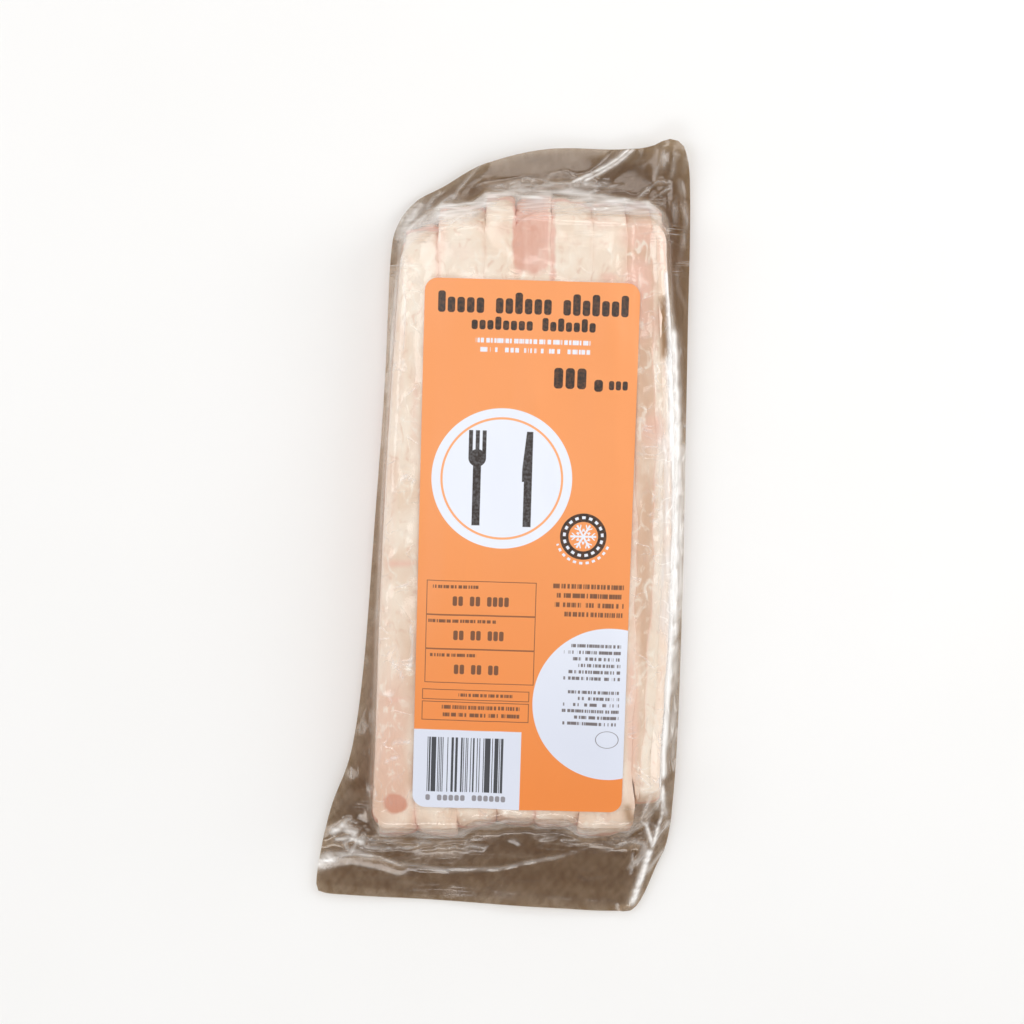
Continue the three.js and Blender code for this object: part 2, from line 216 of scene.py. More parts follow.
def room_at(z, top, slope):
    """How far outside the block's edge the film lies at a height, over and under the margin."""
    reaches = []
    for drop, radius in ((top - z, SHOULDER), (z, UNDER_SHOULDER)):
        drop = np.maximum(drop, 0)
        arc = radius * (1 - np.cos(slope))
        on_arc = np.sqrt(np.maximum(radius**2 - (radius - np.minimum(drop, arc)) ** 2, 0)) - radius
        reaches.append(on_arc + np.maximum(drop - arc, 0) / np.tan(slope))
    over, under = reaches
    return np.minimum(over, under + 10 * smooth(z, 6.5, 8.8))


SLICE_CELLS = (16, 190, 34)  # across, along and up
SLICE_ROUNDING = 0.1
UNDER_GAP = 0.4  # between a slice and the film that it rests on
FILM_GAP = 0.3  # and below the film on top
SEAM_GAP = -0.04  # pressed into each other a little
END_STRETCH = 11.0  # the length at each end that takes up the slice's slope
BLUNT_END = 1.3  # how far the corners of a slice's end stand back
END_RAGGED, END_SLANT = 0.5, 1.4  # how uneven and how slanting its end is
SIDE_LUMPS = 0.2
PRESSINGS, PROBE = 3, 0.05  # how often a corner is pressed in, and the step that finds the way


def rounded_box(counts, half, radius):
    """A closed box with round edges, centred on the origin. Its cells are finest at its sides."""
    lattice, faces = box_shell(counts)
    lattice -= 0.8 * np.sin(TURN * lattice) / TURN
    corners = (lattice * 2 - 1) * half
    core = np.clip(corners, radius - half, half - radius)
    out = corners - core
    return core + out * (radius / np.linalg.norm(out, axis=1))[:, None], faces


def slice_shape(i):
    """Points and faces of slice i, and where each point lies across it, from -1 to 1."""
    middle_y = (HEAD_ENDS[i] + FOOT_ENDS[i]) / 2
    mean_width = (HEAD_WIDTHS[i] + FOOT_WIDTHS[i]) / 2
    half = np.array((
        mean_width / 2 - SEAM_GAP,
        (HEAD_ENDS[i] - FOOT_ENDS[i]) / 2,
        (BLOCK_HEIGHT - UNDER_GAP - FILM_GAP) / 2,
    ))
    p, faces = rounded_box(SLICE_CELLS, half, SLICE_ROUNDING)
    across = p[:, 0] / half[0]
    up = (p[:, 2] + half[2]) / (2 * half[2])
    y = p[:, 1] + middle_y
    left, right = seam_x(i, y), seam_x(i + 1, y)
    x = (left + right) / 2 + p[:, 0] * (right - left) / mean_width
    top = crown(np.full(len(p), i), across, y, 1.0) - FILM_GAP + relief(x, y)
    z = UNDER_GAP + up * (top - UNDER_GAP)
    outward = (across if i == SLICE_COUNT - 1 else -across) * (i in (0, SLICE_COUNT - 1))
    beside = room_at(z, top, np.radians(SIDE_SLOPE)) - FILM_GAP
    x = x + np.sign(across) * beside * smooth(outward, 0, 1)
    end = smooth(np.abs(p[:, 1]) - half[1], -END_STRETCH, 0)
    ragged = END_RAGGED * (1 + uneven(np.column_stack((x, z * 1.3)), 9.0, 60 + i))
    beyond = room_at(z, top, np.radians(END_SLOPE)) - FILM_GAP - ragged.clip(0, 1.4)
    beyond = beyond - BLUNT_END * across**4
    slant = END_SLANT * np.sin(2.4 * i + np.where(p[:, 1] > 0, 1.0, 3.0))
    y = y + end * (np.sign(p[:, 1]) * beyond + slant * across)
    lumps = uneven(np.column_stack((x, y, z)), 11.0, 40 + i)
    x = x + SIDE_LUMPS * lumps * np.abs(across) * (up < 0.9)
    for _ in range(PRESSINGS):  # a corner that would show outside the film is pressed in
        distance, slope = from_block(x, y)
        excess = np.maximum(distance - room_at(z, top, slope) + FILM_GAP, 0)
        rise_x = (from_block(x + PROBE, y)[0] - distance) / PROBE
        rise_y = (from_block(x, y + PROBE)[0] - distance) / PROBE
        x, y = x - excess * rise_x, y - excess * rise_y
    return np.column_stack((x, y, z)), faces, across


# Where the fat shows lean meat: middle x and y, half width, half length, squareness and how far down.
LEAN_FIELDS = (
    (12.8, 122.7, 7.2, 16.5, 7.0, 9.0),
    (-42.3, -107.0, 4.7, 4.1, 2.3, 22.0),
    (21.1, 113.0, 0.9, 17.0, 5.0, 9.0),
)
# Where the fat is rosy: middle x and y, half width, half length, and how strongly.
ROSY_FIELDS = (
    (39.6, 126.0, 7.0, 3.5, 0.5),
    (55.5, 121.0, 9.0, 7.0, 0.8),
    (55.0, 103.0, 7.5, 13.0, 1.0),
    (43.2, 105.0, 4.2, 2.2, 0.8),
    (64.0, 117.0, 3.0, 12.0, 0.6),
    (62.5, 88.0, 3.0, 7.0, 0.6),
    (57.5, 90.0, 3.0, 12.0, 0.7),
    (62.0, 44.0, 6.5, 9.0, 0.9),
    (67.2, 38.2, 2.2, 5.0, 0.7),
    (-22.0, 121.0, 2.2, 9.0, 0.5),
    (-15.0, 115.0, 6.0, 4.0, 0.35),
    (2.0, 124.0, 4.0, 3.0, 0.3),
    (54.0, 20.0, 2.0, 40.0, 0.45),
    (54.0, -70.0, 3.0, 38.0, 0.8),
    (-40.0, -8.6, 7.0, 1.2, 0.9),
    (-42.0, -65.0, 6.0, 1.4, 1.0),
    (-44.0, -80.0, 9.0, 40.0, 0.55),
    (-40.0, -105.0, 9.0, 8.0, 0.5),
    (-33.5, 52.0, 1.4, 22.0, 0.5),
    (8.0, -118.0, 20.0, 5.0, 0.4),
)
SEAM_ROSE = np.array((0.2, 0.8, 0.15, 0.25, 0.8, 0.15, 0.4, 0.5, 0.2))  # and along each seam
SLICE_TAN = (0.1, 0.1, 0.1, 0.1, 0.1, 0.2, 1.1, 0.0)  # how tan each slice's fat is
FOOT_TAN, LEFT_FOOT_TAN = 0.5, 0.6  # what the foot adds, and what it adds on the first slice
# The belly's layers below the fat edge, as on any slice: height of the middle and half thickness.
LEAN_LAYERS = ((12.4, 1.3), (5.6, 2.9))


def lean_depth(points, i):
    """Millimetres into lean meat, or below 0 the distance to it in fat."""
    x, y, z = points.T
    edge = np.full(len(x), -9.0)
    for middle_x, middle_y, half_width, half_length, power, lowest in LEAN_FIELDS:
        dx, dy = np.abs(x - middle_x) / half_width, np.abs(y - middle_y) / half_length
        deep = (1 - (dx**power + dy**power) ** (1 / power)) * min(half_width, half_length)
        edge = np.maximum(edge, np.minimum(deep, (z - lowest) * 0.5))
    bend = uneven(np.column_stack((y, x * 3)), 90.0, 70 + i) * 1.4 + uneven(points, 19.0, 90 + i) * 0.7
    for middle_z, half_thickness in LEAN_LAYERS:
        swell = 1 + 0.35 * uneven(np.column_stack((y, z * 0)), 60.0, int(middle_z) + i)
        edge = np.maximum(edge, half_thickness * swell - np.abs(z + bend - middle_z))
    return edge


def rosiness(points, across, i):
    """How rosy slice i's fat is, from 0 to 1."""
    x, y, _ = points.T
    most = SEAM_ROSE[i + (across > 0)] * smooth(np.abs(across), 0.78, 1.0)
    for middle_x, middle_y, half_width, half_length, strength in ROSY_FIELDS:
        away = np.hypot((x - middle_x) / half_width, (y - middle_y) / half_length)
        most = np.maximum(most, strength * (1 - smooth(away, 0.35, 1.25)))
    return most


def tanness(points, i):
    """How tan slice i's fat is."""
    footwards = -points[:, 1]
    left = LEFT_FOOT_TAN * smooth(footwards, -60, 90) * (i == 0)
    return SLICE_TAN[i] + left + FOOT_TAN * smooth(footwards, 85, 118)


class Socket:
    """A value inside a finish. Sums and products of such values add the Math nodes."""

    def __init__(self, finish, link):
        self.finish = finish
        self.link = link

    def math(self, operation, *values):
        return self.finish.node("ShaderNodeMath", {"operation": operation}, dict(enumerate(values)))

    def __add__(self, other):
        return self.math("ADD", self, other)

    def __sub__(self, other):
        return self.math("SUBTRACT", self, other)

    def __rsub__(self, other):
        return self.math("SUBTRACT", other, self)

    def __mul__(self, other):
        return self.math("MULTIPLY", self, other)

    def __truediv__(self, other):
        return self.math("DIVIDE", self, other)

    def __pow__(self, other):
        return self.math("POWER", self, other)

    def __abs__(self):
        return self.math("ABSOLUTE", self)

    __radd__ = __add__
    __rmul__ = __mul__

    def above(self, other):
        return self.math("MAXIMUM", self, other)

    def below(self, other):
        return self.math("MINIMUM", self, other)

    def step(self, low, high):
        """0 where this is under low, 1 over high, and an even ramp between them."""
        ends = {0: self, 1: low, 2: high, 3: 0.0, 4: 1.0}
        return self.finish.node("ShaderNodeMapRange", {"clamp": True}, ends)


class Finish:
    """A material in the making."""

    def __init__(self, name):
        self.material = bpy.data.materials.new(name)
        self.material.use_nodes = True
        self.tree = self.material.node_tree
        self.tree.nodes.clear()

    def node(self, kind, settings=None, inputs=None, output=0):
        """Adds a node: its settings first, then the values or links of its sockets."""
        made = self.tree.nodes.new(kind)
        for key, value in (settings or {}).items():
            setattr(made, key, value)
        for key, value in (inputs or {}).items():
            if isinstance(value, Socket):
                self.tree.links.new(value.link, made.inputs[key])
            else:
                made.inputs[key].default_value = value
        return Socket(self, made.outputs[output])

    def field(self, name):
        return self.node("ShaderNodeAttribute", {"attribute_name": name}, output="Fac")

    def place(self):
        return self.node("ShaderNodeTexCoord", output="Object")

    def noise(self, scale, detail=2.0, stretch=(1, 1, 1), warp=0.0, kind="3D"):
        """Cloudy values about 0.5, on the piece's own coordinates."""
        at = self.node("ShaderNodeMapping", None, {"Vector": self.place(), "Scale": stretch})
        settings = {"Vector": at, "Scale": scale, "Detail": detail, "Distortion": warp}
        return self.node("ShaderNodeTexNoise", {"noise_dimensions": kind}, settings)

    def blend(self, first, second, share):
        """One colour turning into another."""
        colours = {0: share, 6: first, 7: second}
        return self.node("ShaderNodeMix", {"data_type": "RGBA"}, colours, output=2)

    def layered(self, share, first, second):
        """One shader turning into another."""
        return self.node("ShaderNodeMixShader", None, {0: share, 1: first, 2: second})

    def bump(self, height, depth, strength):
        inputs = {"Height": height, "Distance": depth, "Strength": strength}
        return self.node("ShaderNodeBump", None, inputs)

    def surface(self, colour, roughness, shine, normal):
        """Makes a plain surface of that colour."""
        inputs = {"Base Color": colour, "Roughness": roughness, "Normal": normal}
        inputs["Specular IOR Level"] = shine
        return self.show(self.node("ShaderNodeBsdfPrincipled", None, inputs))

    def show(self, shader):
        """Makes that shader the surface."""
        end = self.tree.nodes.new("ShaderNodeOutputMaterial")
        self.tree.links.new(shader.link, end.inputs["Surface"])
        return self.material


def rgb(red, green, blue):
    """A colour as seen, 0 to 255, made the linear one that Blender reads."""
    seen = [c / 255 for c in (red, green, blue)]
    return tuple(c / 12.92 if c <= 0.04045 else ((c + 0.055) / 1.055) ** 2.4 for c in seen) + (1.0,)


def meat_finish():
    """Moist fat and lean: cream fat with tan and rosy clouds, and pink lean with fine strands."""
    meat = Finish("pork_fat_and_lean")
    clouds = meat.noise(60.0, 3.0, (1, 0.6, 1), 0.5)
    flecks = meat.noise(240.0, 3.0, (1, 0.6, 1), 1.2)
    strands = meat.noise(420.0, 3.0, (1, 0.12, 1))
    fat = meat.blend(rgb(250, 237, 222), rgb(240, 217, 195), clouds.step(0.38, 0.7))
    fat = meat.blend(fat, rgb(219, 184, 157), meat.field("tan") * clouds.step(0.2, 0.62))
    fat = meat.blend(fat, rgb(238, 196, 178), meat.field("rosy") * clouds.step(0.15, 0.55))
    fat = meat.blend(fat, rgb(252, 244, 232), flecks.step(0.56, 0.72) * 0.7)
    fat = meat.blend(fat, rgb(224, 187, 165), flecks.step(0.42, 0.3) * 0.5)
    lean = meat.blend(rgb(229, 178, 160), rgb(243, 206, 190), strands.step(0.3, 0.8))
    lean = meat.blend(lean, rgb(246, 216, 202), flecks.step(0.5, 0.7) * 0.6)
    lean = meat.blend(lean, rgb(216, 155, 130), clouds.step(0.48, 0.66) * 0.55)
    lean = meat.blend(lean, rgb(208, 142, 114), meat.field("tan").step(0.5, 1.1) * 0.8)
    edge = meat.field("lean") + (meat.noise(150.0, 3.0) - 0.5) * 2.8
    share = edge.step(-0.5, 0.6)
    colour = meat.blend(fat, lean, share)
    height = clouds * 0.5 + flecks * 0.3 + strands * share * 0.2
    return meat.surface(colour, 0.5, 0.3, meat.bump(height, 0.0006, 0.8))


MEAT = meat_finish()
for i in range(SLICE_COUNT):
    points, faces, across = slice_shape(i)
    belly_slice = mesh_object(f"belly_slice_{i + 1}", points, faces)
    set_field(belly_slice, "lean", lean_depth(points, i))
    set_field(belly_slice, "rosy", rosiness(points, across, i))
    set_field(belly_slice, "tan", tanness(points, i))
    belly_slice.data.materials.append(MEAT)
    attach(belly_slice, "root")
    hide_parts("pouch")

# ---- Bag ----------------------------------------------------------------------------------------
# Two webs of clear film, welded round their edge and drawn tight over the slices when the air was
# pumped out. Outside the slices they meet in a loose smoky margin that creases where it gathers.

MARGIN_ROOT_Z, MARGIN_RIM_Z = 9.5, 2.4  # height of the margin where it leaves the block, and far out
MARGIN_DROOP, MARGIN_LOOSE = 11.0, 9.0  # over what distance it sinks, and its waves grow
MARGIN_BLEND = 3.0  # how softly the walls turn into it
MARGIN_CLEARANCE = 0.5  # above the ground
FILM_SAG = 0.45  # the share of a groove that the film follows
LOOSE_GAP, WELDED_GAP = 1.0, 0.35  # between the webs inside the margin and at the weld
WELD_WIDTH = 7.0
MARGIN_WAVES = ((0.8, 1 / 82, 0.0, 0.6), (0.5, 1 / 250, 1 / 75, 0.0))  # rise, turns per mm, phase
CORNER_LIFT = ((71.0, 159.0), 15.0, 4.5)  # the head corner that curls up: place, reach and rise

# The bag's edge, counter-clockwise from the left foot corner.
OUTLINE = np.array((
    (-78.1, -149), (-75.5, -152.7), (-64, -154), (-25, -156.7), (22, -159.6), (47, -161.2),
    (58, -158.8), (66.5, -141), (71.5, -127.5), (74, -97), (75.6, -49), (76.5, 13), (77.1, 79),
    (77.8, 136), (75.4, 157), (69, 161.6), (62, 159), (51, 157.8), (20, 158), (-6, 152), (-23, 142.8),
    (-34, 137), (-41.4, 127.3), (-44.3, 113), (-47.1, 61), (-52, 1), (-56.7, -54), (-62.4, -91),
    (-70.8, -114), (-75.6, -133),
))

# The larger folds, as ridges along a path: half width, rise and path.
FOLDS = (
    (4.0, 0.9, ((-74, -137.5), (-62, -135), (-50, -136.4), (-43, -139.5))),
    (3.2, 1.8, ((-8, 140), (20, 142), (38, 144), (53, 158))),
    (3.0, 1.4, ((-22, 135), (-7, 152))),
    (2.6, 1.1, ((66.5, 158), (68, 134), (69, 112))),
    (2.4, 0.25, ((73.5, 154), (74, 97), (74, 31))),
    (3.4, 2.4, ((60, -111), (64, -131), (55, -158))),
    (2.8, 1.9, ((70, -109), (64, -131))),
    (2.8, 1.3, ((42, -128), (64, -131), (72, -120))),
    (3.0, 1.9, ((-74, -129), (-66, -125), (-55, -127))),
    (3.0, 1.3, ((-62, -103), (-60, -117), (-66, -129))),
)

FOOT_STAR = (64.4, -131.5)  # where the creases of the foot's right corner meet
# The two bright strokes at the head, which are creases, and painted highlights in the white paths too.
HEAD_STROKES = (
    ((30, 144.6), (37, 147.8), (43.5, 151.0), (48.5, 154.2), (52.4, 157.6)),
    ((35, 145.2), (42, 148.6), (48, 152.2), (52, 155.4), (54.2, 157.6)),
)

# Sharp creases that show one by one, in the same way.
CREASES = (
    (0.9, 0.8, ((-5, 142.5), (4, 144), (11, 146), (16, 143.6))),
    (0.8, 0.9, ((2, 140.7), (8.5, 144), (17, 142.3), (31, 144.3), (46, 144.3))),
    (0.8, 0.9, ((7, 139.5), (13, 141.5), (21.5, 144), (27, 143.5), (45, 142.3), (51, 143.5))),
    (0.8, 0.7, ((20, 141.4), (29.6, 139.8), (39.3, 140.6))),
    (0.8, 1.2, HEAD_STROKES[0]),
    (0.7, 0.8, HEAD_STROKES[1]),
    (0.6, 0.8, ((53.8, 136), (58.6, 140.3), (64.2, 144.7), (70.7, 143.9))),
    (0.6, 0.8, ((59, 134.4), (61, 137.1), (70, 142.7))),
    (0.9, 0.9, ((66.5, 159), (66.6, 148))),
    (0.8, 0.8, ((71.8, 156.8), (69.5, 145.6))),
    (0.9, 0.9, ((72.7, 146.4), (76.2, 129.5), (74, 114))),
    (0.7, 0.7, ((-7.4, 152), (-17.2, 140.8), (-21, 134))),
    (0.8, 0.7, ((-20, 139), (-16, 137.4), (-8, 134.6))),
    (1.2, 1.0, ((-32, 135.6), (-38.6, 126.8), (-42.3, 121.5))),
    (1.0, 0.8, ((-39, 133), (-42, 124))),
    (0.7, 0.4, ((-24, 125), (-19, 126.6), (-9, 128), (-2.7, 130.4))),
    (0.7, 0.4, ((21.7, 128.6), (27, 130), (40, 128.4), (55, 127.6), (63, 128))),
    (0.7, 0.3, ((24, 125.5), (42, 125), (60, 125.6))),
    (0.7, 0.4, ((2, 128), (8.3, 126.9), (15.4, 128), (21, 127.3))),
    (0.6, 0.5, (
        (-75.4, -139.2), (-69.8, -136.2), (-59, -135.3), (-50.8, -136.2), (-40, -142), (-21, -143.6),
    )),
    (0.6, 0.3, ((-40, -142), (0, -142), (12.8, -138.8), (25.6, -136.6), (40, -131))),
    (0.7, 0.6, ((-65.4, -128.5), (-55, -132.8), (-38, -132.8), (-21, -129.4), (-8.3, -128.5))),
    (0.7, 1.3, (FOOT_STAR, (60.5, -118.5), (55, -112))),
    (0.7, 1.3, (FOOT_STAR, (71, -120.7), (67.6, -108))),
    (0.8, 1.2, (FOOT_STAR, (55, -129.4), (48, -133))),
    (0.8, 1.2, (FOOT_STAR, (54.4, -142.4))),
    (1.0, 1.4, ((63.6, -133.7), (61, -142.4), (56.2, -157.2))),
    (0.9, 1.0, ((-71.7, -126.3), (-65.4, -122.4), (-59.9, -124.2), (-63.3, -130.2))),
    (0.8, 0.5, ((-44.5, 20), (-41.5, 21), (-37, 26.2), (-32.3, 25))),
    (0.8, 0.4, ((-41.3, 50.9), (-36.9, 58.8), (-32, 62.7))),
    (0.7, 0.5, ((-36, 114), (-40.4, 105), (-40.8, 90), (-42.4, 62))),
    (0.6, 0.4, ((-38.6, 88), (-40, 60), (-41.6, 30))),
    (0.8, 0.6, ((64, 96), (68, 80), (68.6, 60), (70.4, 42))),
    (0.7, 0.5, ((60, 93), (62, 74), (63.5, 50), (66, 30), (60, 22))),
    (0.7, 0.5, ((68.4, -50), (68.4, -78), (67, -104))),
    (0.6, 0.4, ((56, 81.7), (62, 81.7))),
    (2.0, 3.4, ((66.5, 98), (69.6, 80), (71.0, 62), (71.8, 44), (72.6, 22))),
    (1.4, 1.6, ((72.6, 30), (73.2, 0), (72.8, -40), (71, -70))),
    (0.5, 0.08, ((-77.5, -145.8), (-25.4, -149.2), (10, -152.8), (56.3, -158.2))),
)

# Fans of small creases: how many, the box where their middles lie, their heading in degrees and its
# spread, shortest and longest, and their rise.
FANS = (
    (14, ((0, 138), (56, 144)), 0, 14, 8, 24, 0.5),
    (10, ((-36, 126), (-12, 138)), 40, 26, 5, 12, 0.6),
    (5, ((64, 100), (76, 156)), 88, 12, 8, 24, 0.35),
    (16, ((-60, -134), (-8, -126)), 4, 16, 6, 16, 0.5),
    (6, ((0, -131), (50, -124)), 6, 50, 4, 9, 0.5),
    (9, ((-74, -132), (-58, -120)), 20, 70, 4, 10, 0.9),
    (14, ((54, -140), (72, -108)), 75, 45, 6, 15, 0.9),
    (20, ((66, -100), (72, 95)), 86, 10, 6, 20, 0.35),
    (12, ((-52, -100), (-42, 100)), 85, 14, 8, 22, 0.3),
    (14, ((-46, -100), (-34, 108)), 20, 60, 3, 6, 0.3),
    (16, ((58, -98), (66, 90)), 60, 50, 3, 9, 0.3),
    (12, ((-30, 108), (60, 126)), 5, 40, 3, 8, 0.2),
)

# Where the film is white: milky from stretching or tight folding, and painted highlights on creases
# and walls, with the right wall's bright band a painted reflection: half width, strength and path.
HAZE_AND_HIGHLIGHT_PATHS = (
    (1.2, 0.35, ((-4, 138), (8, 141), (30, 140), (46, 138), (62, 133))),
    (5.0, 0.30, ((-34, 134), (-39, 125))),
    (0.5, 0.65, HEAD_STROKES[0]),
    (0.5, 0.65, HEAD_STROKES[1]),
    (1.8, 0.22, ((42, 150.0), (48, 153.6), (52.6, 157.2))),
    (1.3, 1.30, ((66.6, 106), (67.6, 94), (68.6, 84))),
    (2.8, 1.80, ((69.0, 82), (69.8, 66), (70.4, 50), (71.0, 34))),
    (2.4, 1.20, ((71.0, 34), (71.6, 10), (71.6, -20), (70.4, -40))),
    (3.0, 0.45, ((74.4, 36), (75.2, 10), (75.0, -32))),
    (4.0, 0.50, ((66.8, 40), (67.4, 10), (67.0, -34))),
    (2.6, 0.25, ((74.0, -46), (72.2, -92))),
    (1.9, 1.50, ((71.2, 10), (70.4, -40), (69.2, -66), (67.6, -100))),
    (2.4, 0.8, ((-79, -141), (-72, -137.4))),
    (1.6, 0.3, ((-71, -136.6), (-62, -134.8), (-55, -136.4))),
    (0.8, 0.2, ((-73, -138), (-59, -135.3), (-44, -139.6), (-21, -143.4), (0, -142))),
    (0.6, 0.2, ((0, -142), (14, -138.6), (27, -136.4))),
    (1.3, 0.90, ((63.4, -134), (61, -142.4), (56.4, -156.6))),
    (0.7, 0.70, ((64.4, -131), (61, -119), (56, -113))),
    (0.7, 0.75, ((64.4, -131), (68.6, -118), (68.2, -106))),
    (1.4, 0.60, ((-70.5, -125.5), (-66.4, -123), (-61.5, -126))),
    (0.9, 0.55, ((-69, -129), (-64, -127.6), (-58, -130))),
    (1.2, 0.40, ((-44.4, 62), (-43.2, 88), (-41.4, 104), (-38, 113))),
    (0.6, 0.50, ((-35.8, -34), (-34.8, -39.4), (-35.3, -45.8), (-36, -50.7))),
    (0.6, 0.55, ((-44.4, -45), (-42.6, -50), (-40.2, -52.3), (-39, -55.6))),
    (0.6, 0.55, ((-42.8, -81.7), (-39.8, -81.1), (-36.7, -81.5))),
    (0.5, 0.45, ((-46, -89.8), (-43.5, -88.4), (-41.1, -87.9))),
    (0.8, 0.45, ((-38.8, 25.6), (-36.7, 26.6), (-34, 24.4))),
    (0.5, 0.35, ((-38.6, 106), (-36.9, 97.6), (-37.3, 86.4), (-37.9, 76.2))),
    (0.5, 0.55, ((60.8, 11.3), (63.2, 12.1), (66, 10.9))),
    (0.5, 0.50, ((61.2, 8.1), (63.6, 8.9), (66.4, 7.3))),
    (0.6, 0.55, ((66.2, 22.3), (69.4, 24.7), (72.7, 23.9))),
    (0.5, 0.50, ((66.3, 19), (69.1, 17.8), (72.3, 19.4))),
)

# Where it spans a shaded hollow and is made brown there as painted shade, in the same way.
SHADED_HOLLOWS = (
    (1.7, 0.95, ((64.8, 96), (65.1, 87), (65.9, 75))),
    (2.4, 0.90, ((56, -113.5), (60, -117))),
    (2.2, 0.90, ((64.5, -113), (65.5, -119))),
    (1.6, 0.70, ((52, -109), (54, -116))),
    (2.2, 0.60, ((-2, -119.5), (14, -119))),
)

LABEL_SIZE = (85.0, 213.0)
LABEL_MIDDLE = (10.3, -2.7)
LABEL_TURN = math.radians(-1.7)


def on_label(x, y):
    """A point's place on the sticker: across it and along it, from its middle."""
    dx, dy = x - LABEL_MIDDLE[0], y - LABEL_MIDDLE[1]
    c, s = math.cos(LABEL_TURN), math.sin(LABEL_TURN)
    return dx * c + dy * s, dy * c - dx * s


def under_label(x, y):
    """1 where the sticker holds the film flat, and 0 clear of it."""
    u, v = on_label(x, y)
    out = np.maximum(np.abs(u) - LABEL_SIZE[0] / 2, np.abs(v) - LABEL_SIZE[1] / 2)
    return 1 - smooth(out, 0.0, 2.0)


def top_of_slices(x, y, share):
    """Height over the slices of something that follows that share of the grooves."""
    seams = np.stack([seam_x(i, y) for i in range(SLICE_COUNT + 1)])
    inside = np.clip(x, seams[0], seams[-1])
    ids = (inside > seams[1:-1]).sum(axis=0)
    left = np.take_along_axis(seams, ids[None], axis=0)[0]
    right = np.take_along_axis(seams, ids[None] + 1, axis=0)[0]
    return crown(ids, (inside - (left + right) / 2) / ((right - left) / 2), y, share)


def to_path(x, y, path):
    """Distance to the line through a path's points, and how far along it the nearest place is."""
    path = np.asarray(path, float)
    steps = np.diff(path, axis=0)
    lengths = np.hypot(*steps.T)
    nearest, place = np.full(len(x), 1e6), np.zeros(len(x))
    travelled = 0.0
    for start, step, length in zip(path, steps, lengths):
        along = ((x - start[0]) * step[0] + (y - start[1]) * step[1]) / length**2
        along = np.clip(along, 0, 1)
        away = np.hypot(x - start[0] - along * step[0], y - start[1] - along * step[1])
        place = np.where(away < nearest, travelled + along * length, place)
        nearest = np.minimum(nearest, away)
        travelled += length
    return nearest, place / travelled


def broad_fold(x, y, half, rise, path):
    """A bell-shaped fold along a path, at full height up to its ends."""
    return rise * np.exp(-((to_path(x, y, path)[0] / half) ** 2))


def ridge(x, y, half, rise, path):
    """A ridge along a path, which dies away at both ends."""
    (left, low), (right, high) = np.min(path, axis=0) - 3 * half, np.max(path, axis=0) + 3 * half
    near = (x > left) & (x < right) & (y > low) & (y < high)
    nearest, share = to_path(x[near], y[near], path)
    swell = np.sqrt((4 * share * (1 - share)).clip(0, 1))
    height = np.zeros(len(x))
    height[near] = rise * np.exp(-((nearest / half) ** 2)) * swell
    return height


def small_creases(x, y):
    """All the sharp creases: those listed, and the seeded fans between them."""
    rng = np.random.default_rng(17)
    total = sum(ridge(x, y, *crease) for crease in CREASES)
    total = total * (0.75 + 0.4 * uneven(np.column_stack((x, y)), 9.0, 19)).clip(0.15, 1.1)
    for count, (low, high), heading, spread, shortest, longest, rise in FANS:
        for _ in range(count):
            middle = rng.uniform(low, high)
            angle = math.radians(heading + spread * rng.normal() * 0.6)
            reach = rng.uniform(shortest, longest) / 2
            bend = rng.normal() * reach * 0.22
            forward = np.array((math.cos(angle), math.sin(angle)))
            sideways = np.array((-forward[1], forward[0]))
            path = [
                middle + forward * reach * t + sideways * bend * (1 - t * t) for t in (-1, -0.4, 0.3, 1)
            ]
            total = total + ridge(x, y, rng.uniform(0.55, 0.9), rise * rng.uniform(0.5, 1.3), path)
    return total


def along_paths(x, y, paths):
    """The strongest of those paths at each point, from 0 to 1."""
    most = np.zeros(len(x))
    for path in paths:
        most = np.maximum(most, broad_fold(x, y, *path))
    return most


def web_gap(x, y):
    """The gap between the two webs in the margin, which closes towards the weld."""
    inwards = to_path(x, y, np.vstack((RIM, RIM[:1])))[0]
    return WELDED_GAP + (LOOSE_GAP - WELDED_GAP) * smooth(inwards, 0, WELD_WIDTH)


def margin_z(x, y, distance):
    """Height of the middle of the loose margin, with its waves and larger folds."""
    outside = np.maximum(distance, 0)
    loose = 1 - np.exp(-outside / MARGIN_LOOSE)
    sink = MARGIN_RIM_Z + (MARGIN_ROOT_Z - MARGIN_RIM_Z) * np.exp(-outside / MARGIN_DROOP)
    waves = sum(
        rise * np.sin(TURN * (x * across + y * along) + phase)
        for rise, across, along, phase in MARGIN_WAVES
    )
    (corner_x, corner_y), reach, lift = CORNER_LIFT
    curl = lift * np.exp(-((np.hypot(x - corner_x, y - corner_y) / reach) ** 2))
    folds = sum(broad_fold(x, y, *fold) for fold in FOLDS)
    middle = sink + loose * (waves + curl + folds)
    return np.maximum(middle, MARGIN_CLEARANCE + LOOSE_GAP / 2)


CURVE_STEPS = 24  # between two corners
RIM_POINTS = 260


def closed_curve(corners, count):
    """Points evenly spread along a smooth closed line through the corners."""
    fine = []
    total = len(corners)
    for k in range(total):
        a, b, c, d = (corners[(k + n) % total] for n in (-1, 0, 1, 2))
        t = np.linspace(0, 1, CURVE_STEPS, endpoint=False)[:, None]
        cubic = (2 * a - 5 * b + 4 * c - d) * t**2 + (3 * b - a - 3 * c + d) * t**3
        fine.append((2 * b + (c - a) * t + cubic) / 2)
    line = np.concatenate(fine)
    spans = np.hypot(*(np.roll(line, -1, axis=0) - line).T)
    place = np.concatenate(([0], np.cumsum(spans)))
    at = np.linspace(0, place[-1], count, endpoint=False)
    loop = np.vstack((line, line[:1]))
    return np.column_stack([np.interp(at, place, loop[:, k]) for k in (0, 1)])


RIM = closed_curve(OUTLINE, RIM_POINTS)


